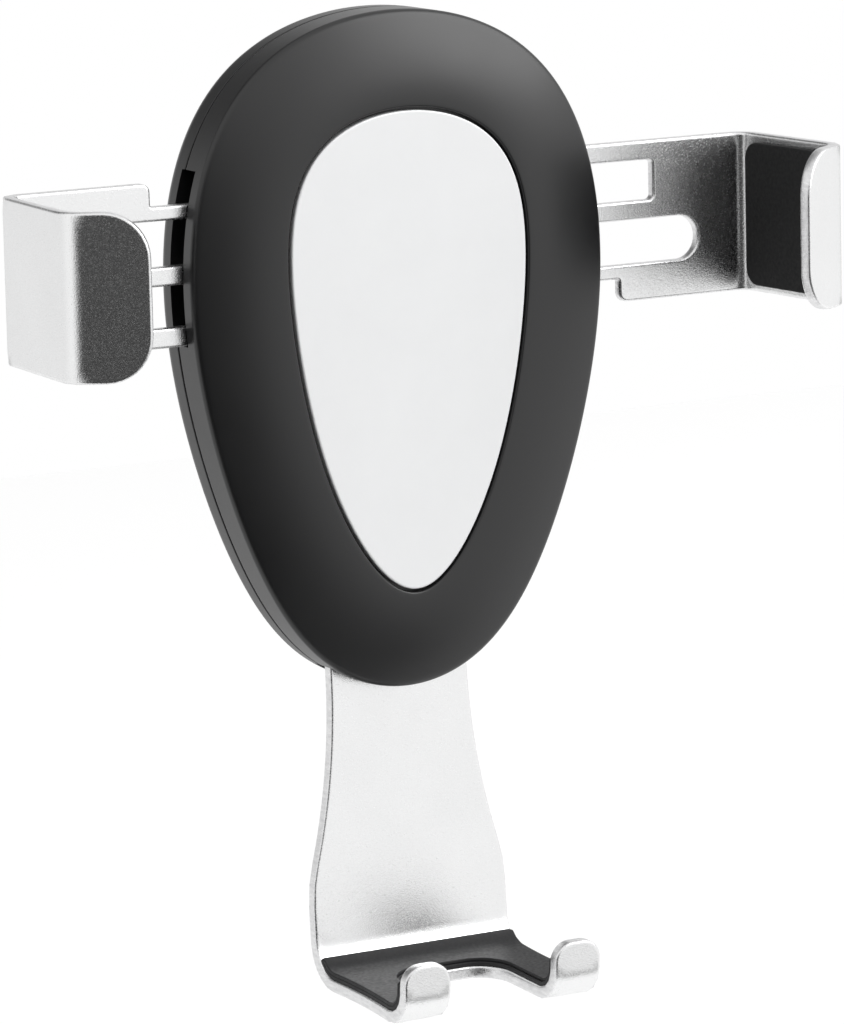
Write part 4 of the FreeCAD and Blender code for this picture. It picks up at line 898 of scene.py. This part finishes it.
def waist_line(half_width):
    """Hollow side of the shelf: the half width less a parabola over the hollow's length."""
    share = np.linspace(-1, 1, WAIST_POINTS)
    s = np.linspace(shelf_s(WAIST_Y[1]), shelf_s(WAIST_Y[0]), WAIST_POINTS)
    return np.column_stack([s, half_width - WAIST * (1 - share ** 2)])


def mirrored_loop(corners, radii):
    """A blank's closed edge from its right half, given from the middle line round to the middle line again."""
    right = rounded_outline(corners + [(c[0], -c[1]) for c in corners[::-1]], radii + radii[::-1])
    return refined(right[::-1])


def bracket_outline():
    """The blank's edge, length down the path against x: shield, peg, neck, arc of flare, shelf, hook and notch."""
    run = math.sqrt(FLARE_RADIUS ** 2 - (FLARE_RADIUS - FOOT_HALF + NECK_HALF) ** 2)
    drop = np.linspace(0, run - 3.0, 14)
    flare_s = leg_s(FLARE_TOP_Z)
    flare = np.column_stack([flare_s + drop, NECK_HALF + FLARE_RADIUS - np.sqrt(FLARE_RADIUS ** 2 - drop ** 2)])
    inner, outer, peg_end = SPRING_X - PEG_HALF, SPRING_X + PEG_HALF, SHOULDER_S + PEG_HEIGHT
    corners = list(SHIELD) + [(SHOULDER_S, outer), (peg_end, outer), (peg_end, inner), (SHOULDER_S, inner)]
    corners += [(SHOULDER_S, NECK_HALF)] + flare.tolist() + [(flare_s + run, FOOT_HALF)]
    corners += waist_line(FOOT_HALF).tolist() + [(bracket_length, FOOT_HALF), (bracket_length, NOTCH_HALF)]
    corners += [(shelf_s(NOTCH_REACH_Y), NOTCH_HALF)]
    radii = [SHIELD_CORNER] * len(SHIELD) + [0.0] * 4 + [0.3] + [0.0] * len(flare) + [18.0]
    return mirrored_loop(corners, radii + [0.0] * WAIST_POINTS + [HOOK_CORNER] * 2 + [NOTCH_CORNER])


def slot_outline(start, end, half_width):
    """A round-ended slot between two places given as x and z, in blank coordinates."""
    start, end = (np.array([BRACKET_TOP_Z - z, x]) for x, z in (start, end))
    heading = math.atan2(*(end - start)[::-1])
    turn = np.linspace(-np.pi / 2, np.pi / 2, 15) + heading
    half_ring = half_width * np.column_stack([np.cos(turn), np.sin(turn)])
    return refined(np.concatenate([end + half_ring, start - half_ring]))


def on_bracket(lift):
    """Carries a blank down the leg, forward along the shelf and up the hooks, lifted off the inner face."""
    def shape(s, h, w):
        place = along_path(bracket_stations, s, -w - lift)
        return np.column_stack([h, place[:, 0], place[:, 1]])
    return shape


bracket_slots = [slot_outline(start, end, CAM_SLOT_HALF) for start, end in CAM_SLOTS]
bracket_slots.append(slot_outline(*GUIDE_SLOT, GUIDE_SLOT_HALF))
bracket_grid = np.sort(np.concatenate([
    np.arange(1.5, SHELF_BEND, 3.0), np.linspace(SHELF_BEND, SHELF_START, 25),
    np.arange(SHELF_START + 1, SHELF_END, 1.5), np.linspace(SHELF_END, HOOK_START, 21),
    np.arange(HOOK_START + 0.6, bracket_length, 0.8)]))
lower_bracket = stamped("lower_bracket_sheet", bracket_outline(), bracket_slots, BRACKET_SHEET, BRACKET_ROUND,
                        bracket_grid, on_bracket(0.0))
lower_bracket.data.materials.append(aluminium)
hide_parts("lower_bracket")
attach(lower_bracket, "shelf")


# Shelf pad: a thin moulded rubber mat bonded to the shelf. It starts in the rear bend, runs up
# the inner face of both hooks, and its edge is stepped along the cable notch.

MAT_INSET = 0.2
MAT_STEP = 0.25
MAT_ROUND = 0.09
MAT_REAR_Z = -67.41
MAT_LIP_DROP = 2.0
MAT_LAYERS = (("lower", 0.0, 0.45, 0.0), ("upper", 0.45, 0.85, MAT_STEP))


def mat_outline(lift, step):
    """One layer's edge on the bracket's blank: rear end in the bend, hollow side, lip end and stepped notch."""
    half = FOOT_HALF - MAT_INSET
    notch_half = NOTCH_HALF + MAT_INSET + step
    reach = shelf_s(NOTCH_REACH_Y + MAT_INSET + step)
    centre_z = bracket_stations[3][1][1] - BRACKET_BENDS[1] * math.sin(math.atan(LEG_LEAN))
    sink = math.asin((centre_z - MAT_REAR_Z) / (BRACKET_BENDS[1] - lift)) - math.atan(LEG_LEAN)
    start, end = SHELF_BEND + BRACKET_BENDS[1] * sink, bracket_length - MAT_LIP_DROP
    corners = [(start, half)] + waist_line(half).tolist() + [(end, half), (end, notch_half), (reach, notch_half)]
    return mirrored_loop(corners, [0.3] + [0.0] * WAIST_POINTS + [0.4, 0.4, NOTCH_CORNER + MAT_INSET + step])


shelf_rubber = silicone("shelf_rubber", (0.012, 0.012, 0.013), (0.015, 0.015, 0.016), 0.48, 0.62, 0.003 * MM)
for label, low, high, step in MAT_LAYERS:
    lift = (BRACKET_SHEET + low + high) / 2
    edge = mat_outline(lift, step)
    layer = stamped("shelf_mat_" + label, edge, [], high - low, MAT_ROUND, bracket_grid, on_bracket(lift))
    layer.data.materials.append(shelf_rubber)
    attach(layer, "shelf")
    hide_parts("shelf_pad")


# Return springs: two compression springs of bright steel wire with closed ends, between seats in
# the rear cover and the shield's shoulders. They lift the shelf back up, and shorten as it drops.

COIL_RADIUS = 1.9
COIL_TURNS = 7
WIRE_RADIUS = 0.25
WIRE_SIDES = 12


def spring_wire(name, low, high):
    """A round wire wound upright in the box between two corners.

    Each station lies one coil radius from the axis at its angle. Its height is a close pitch everywhere plus a
    wide pitch that fades in after the first turn and out before the last. Each ring round the wire is square to
    the way it runs, and the rings at both ends are smaller."""
    full_angle = math.tau * COIL_TURNS
    angle = np.concatenate([[0.0], np.linspace(0.03, full_angle - 0.03, 36 * COIL_TURNS), [full_angle]])
    turn = angle / math.tau
    wide = np.interp(turn, [0.8, 1.3, COIL_TURNS - 1.3, COIL_TURNS - 0.8], [0.0, 1.0, 1.0, 0.0])
    opened = np.concatenate([[0.0], np.cumsum((wide[1:] + wide[:-1]) / 2 * np.diff(turn))])
    close = 2.04 * WIRE_RADIUS
    length = high[2] - low[2] - 2 * WIRE_RADIUS - 0.02
    height = close * turn + (length - close * COIL_TURNS) * opened / opened[-1]
    outwards = np.column_stack([np.cos(angle), np.sin(angle), np.zeros(len(angle))])
    centre = (low + high) / 2 + COIL_RADIUS * outwards
    centre[:, 2] = low[2] + WIRE_RADIUS + 0.01 + height
    along = np.gradient(centre, angle, axis=0)
    along /= np.linalg.norm(along, axis=1)[:, None]
    sideways = np.cross(along, outwards)
    radius = np.full(len(angle), WIRE_RADIUS)
    radius[[0, -1]] *= 0.8
    turn = np.linspace(0, math.tau, WIRE_SIDES, endpoint=False)[None, :, None]
    ring = np.cos(turn) * outwards[:, None] + np.sin(turn) * sideways[:, None]
    points = centre[:, None] + radius[:, None, None] * ring
    end = np.arange(WIRE_SIDES)
    faces = band_faces(len(angle), WIRE_SIDES).tolist()
    faces += [end[::-1].tolist(), (end + WIRE_SIDES * (len(angle) - 1)).tolist()]
    return mesh_piece(name, points.reshape(-1, 3), faces)


spring_steel = plated_steel("spring_steel", (0.42, 0.42, 0.43), (0.58, 0.58, 0.59), 0.2, 0.34)
for side in ("right", "left"):
    low, high = (np.array(corner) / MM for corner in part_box(side + "_return_spring"))
    spring = spring_wire(side + "_spring_wire", low, high)
    spring.data.materials.append(spring_steel)
    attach(spring, "shelf")
    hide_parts(side + "_return_spring")
    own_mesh(spring)


# Ball liner: a cup and a split ring in pale grey low-friction plastic, seated in the tube round
# the ball.

liner_grey = moulded_plastic("liner_grey", (0.30, 0.30, 0.31), (0.36, 0.36, 0.37), 0.35, 0.5)
for node in ("ball_cup", "clamp_ring"):
    dress(node, liner_grey)


# Lock nut: a black moulded nut with twelve finger grips, screwed on the tube's thread; its lip
# presses the split ring on the ball.

dress("lock_nut", moulded_plastic("nut_black", (0.006, 0.006, 0.0065), (0.010, 0.010, 0.0105), 0.38, 0.50))


# Vent clip: black moulded body with the ball, stem and upper jaw, a sprung lower jaw with a
# lever, a steel hinge pin and spring, and ribbed rubber pads that grip a vent slat.

clip_black = moulded_plastic("clip_black", (0.006, 0.006, 0.0065), (0.009, 0.009, 0.0095), 0.36, 0.48)
dress("clip_body", clip_black)
dress("clip_jaw", clip_black)
dress("clip_hinge_pin", steel)
dress("clip_spring", spring_steel)
jaw_rubber = silicone("jaw_rubber", (0.03, 0.03, 0.031), (0.045, 0.045, 0.046), 0.6, 0.8)
for node in ("upper_jaw_pad", "lower_jaw_pad"):
    dress(node, jaw_rubber)


# Surround and floor: white all round, as a photographer's white cove, with the dark front of the
# room low on the left, shade below the table's edge and soft shades behind and above. A large
# soft box shines from the upper right, and a pale floor keeps a faint shadow.

world = bpy.data.worlds.new("studio")
bpy.context.scene.world = world
world.use_nodes = True
nodes, links = world.node_tree.nodes, world.node_tree.links
nodes.clear()


def direction(azimuth, elevation):
    """Unit vector from the object: azimuth from the front towards the right, elevation up, in degrees."""
    a, e = math.radians(azimuth), math.radians(elevation)
    return Vector((math.sin(a) * math.cos(e), -math.cos(a) * math.cos(e), math.sin(e)))


def soft_zone(centre, inner, outer, depth):
    """A factor by direction: 1 - depth inside the inner angle round centre, rising smoothly to 1 at the outer."""
    dot = nodes.new("ShaderNodeVectorMath")
    dot.operation = "DOT_PRODUCT"
    dot.inputs[1].default_value = centre
    links.new(sky.outputs["Generated"], dot.inputs[0])
    start, end = math.cos(math.radians(outer)), math.cos(math.radians(inner))
    fade = spread(nodes, links, dot.outputs["Value"], 1.0, 1.0 - depth, start, end)
    fade.node.interpolation_type = "SMOOTHSTEP"
    return fade


sky = nodes.new("ShaderNodeTexCoord")
seen = nodes.new("ShaderNodeLightPath")
output = nodes.new("ShaderNodeOutputWorld")
background = nodes.new("ShaderNodeBackground")
background.inputs["Color"].default_value = (1, 1, 1, 1)
room = soft_zone(direction(-32, -20), 26, 45, 0.95)
below = soft_zone(direction(24, -60), 20, 43.5, 0.9)
behind = soft_zone(direction(180, 0), 50, 88, 0.13)
above_behind = soft_zone(direction(-165, 40), 12, 42, 0.8)
shaded = maths(nodes, links, "MULTIPLY", maths(nodes, links, "MULTIPLY", room, below),
               maths(nodes, links, "MULTIPLY", behind, above_behind))
links.new(maths(nodes, links, "MAXIMUM", shaded, seen.outputs["Is Camera Ray"]), background.inputs["Strength"])
links.new(background.outputs[0], output.inputs[0])

KEY_DISTANCE = 1.05
key_data = bpy.data.lights.new("soft_box", "AREA")
key_data.shape = "SQUARE"
key_data.size = 0.7
key_data.energy = 5.4
key = bpy.data.objects.new("soft_box", key_data)
bpy.context.scene.collection.objects.link(key)
key_way = direction(48, 30)
facing = key_way.to_track_quat("Z", "Y").to_matrix().to_4x4()
key.matrix_world = Matrix.Translation(key_way * KEY_DISTANCE) @ facing

FLOOR_X = (-450.0, 450.0)
FLOOR_Y = (-60.0, 550.0)
FLOOR_Z = -110.0
FLOOR_GLOW = 0.27
floor = mesh_piece("floor", [(x, y, FLOOR_Z) for y in FLOOR_Y for x in FLOOR_X], [(0, 1, 3, 2)])
floor_white, nodes, links, shader, place = start_material("floor_white")
feed(links, shader, {"Base Color": (0.75, 0.75, 0.75, 1), "Roughness": 0.9, "Emission Color": (1, 1, 1, 1)})
seen = nodes.new("ShaderNodeLightPath")
background_ray = seen.outputs["Is Camera Ray"]
for kind in ("Is Glossy Ray", "Is Transmission Ray"):
    background_ray = maths(nodes, links, "MAXIMUM", background_ray, seen.outputs[kind])
links.new(maths(nodes, links, "MULTIPLY", background_ray, FLOOR_GLOW), shader.inputs["Emission Strength"])
floor.data.materials.append(floor_white)
floor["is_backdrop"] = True


# Camera: a long lens from the front left and a little above, turned slightly about its own axis,
# as fitted to the outlines in the photo.

YAW, PITCH, ROLL = math.radians(29.25), math.radians(9.87), math.radians(-1.33)
FOCAL_PIXELS = 6105.0
DISTANCE = 668.14
PICTURE = (844, 1024)
ORIGIN_AT = (412.6, 353.1)
toward = Vector((-math.sin(YAW) * math.cos(PITCH), -math.cos(YAW) * math.cos(PITCH), math.sin(PITCH)))
level = Vector((math.cos(YAW), -math.sin(YAW), 0.0))
upward = Vector((math.sin(YAW) * math.sin(PITCH), math.cos(YAW) * math.sin(PITCH), math.cos(PITCH)))
right = level * math.cos(ROLL) + upward * math.sin(ROLL)
up = upward * math.cos(ROLL) - level * math.sin(ROLL)
aside = (ORIGIN_AT[0] - PICTURE[0] / 2) * DISTANCE / FOCAL_PIXELS
above = (PICTURE[1] / 2 - ORIGIN_AT[1]) * DISTANCE / FOCAL_PIXELS
camera_data = bpy.data.cameras.new("camera")
camera_data.sensor_fit = "VERTICAL"
camera_data.sensor_height = 36.0
camera_data.lens = FOCAL_PIXELS * 36.0 / PICTURE[1]
camera = bpy.data.objects.new("camera", camera_data)
bpy.context.scene.collection.objects.link(camera)
place = (toward * DISTANCE - right * aside - up * above) * MM
camera.matrix_world = Matrix.Translation(place) @ Matrix((right, up, toward)).transposed().to_4x4()
bpy.context.scene.camera = camera
bpy.context.scene.view_settings.view_transform = "Standard"

low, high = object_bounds()
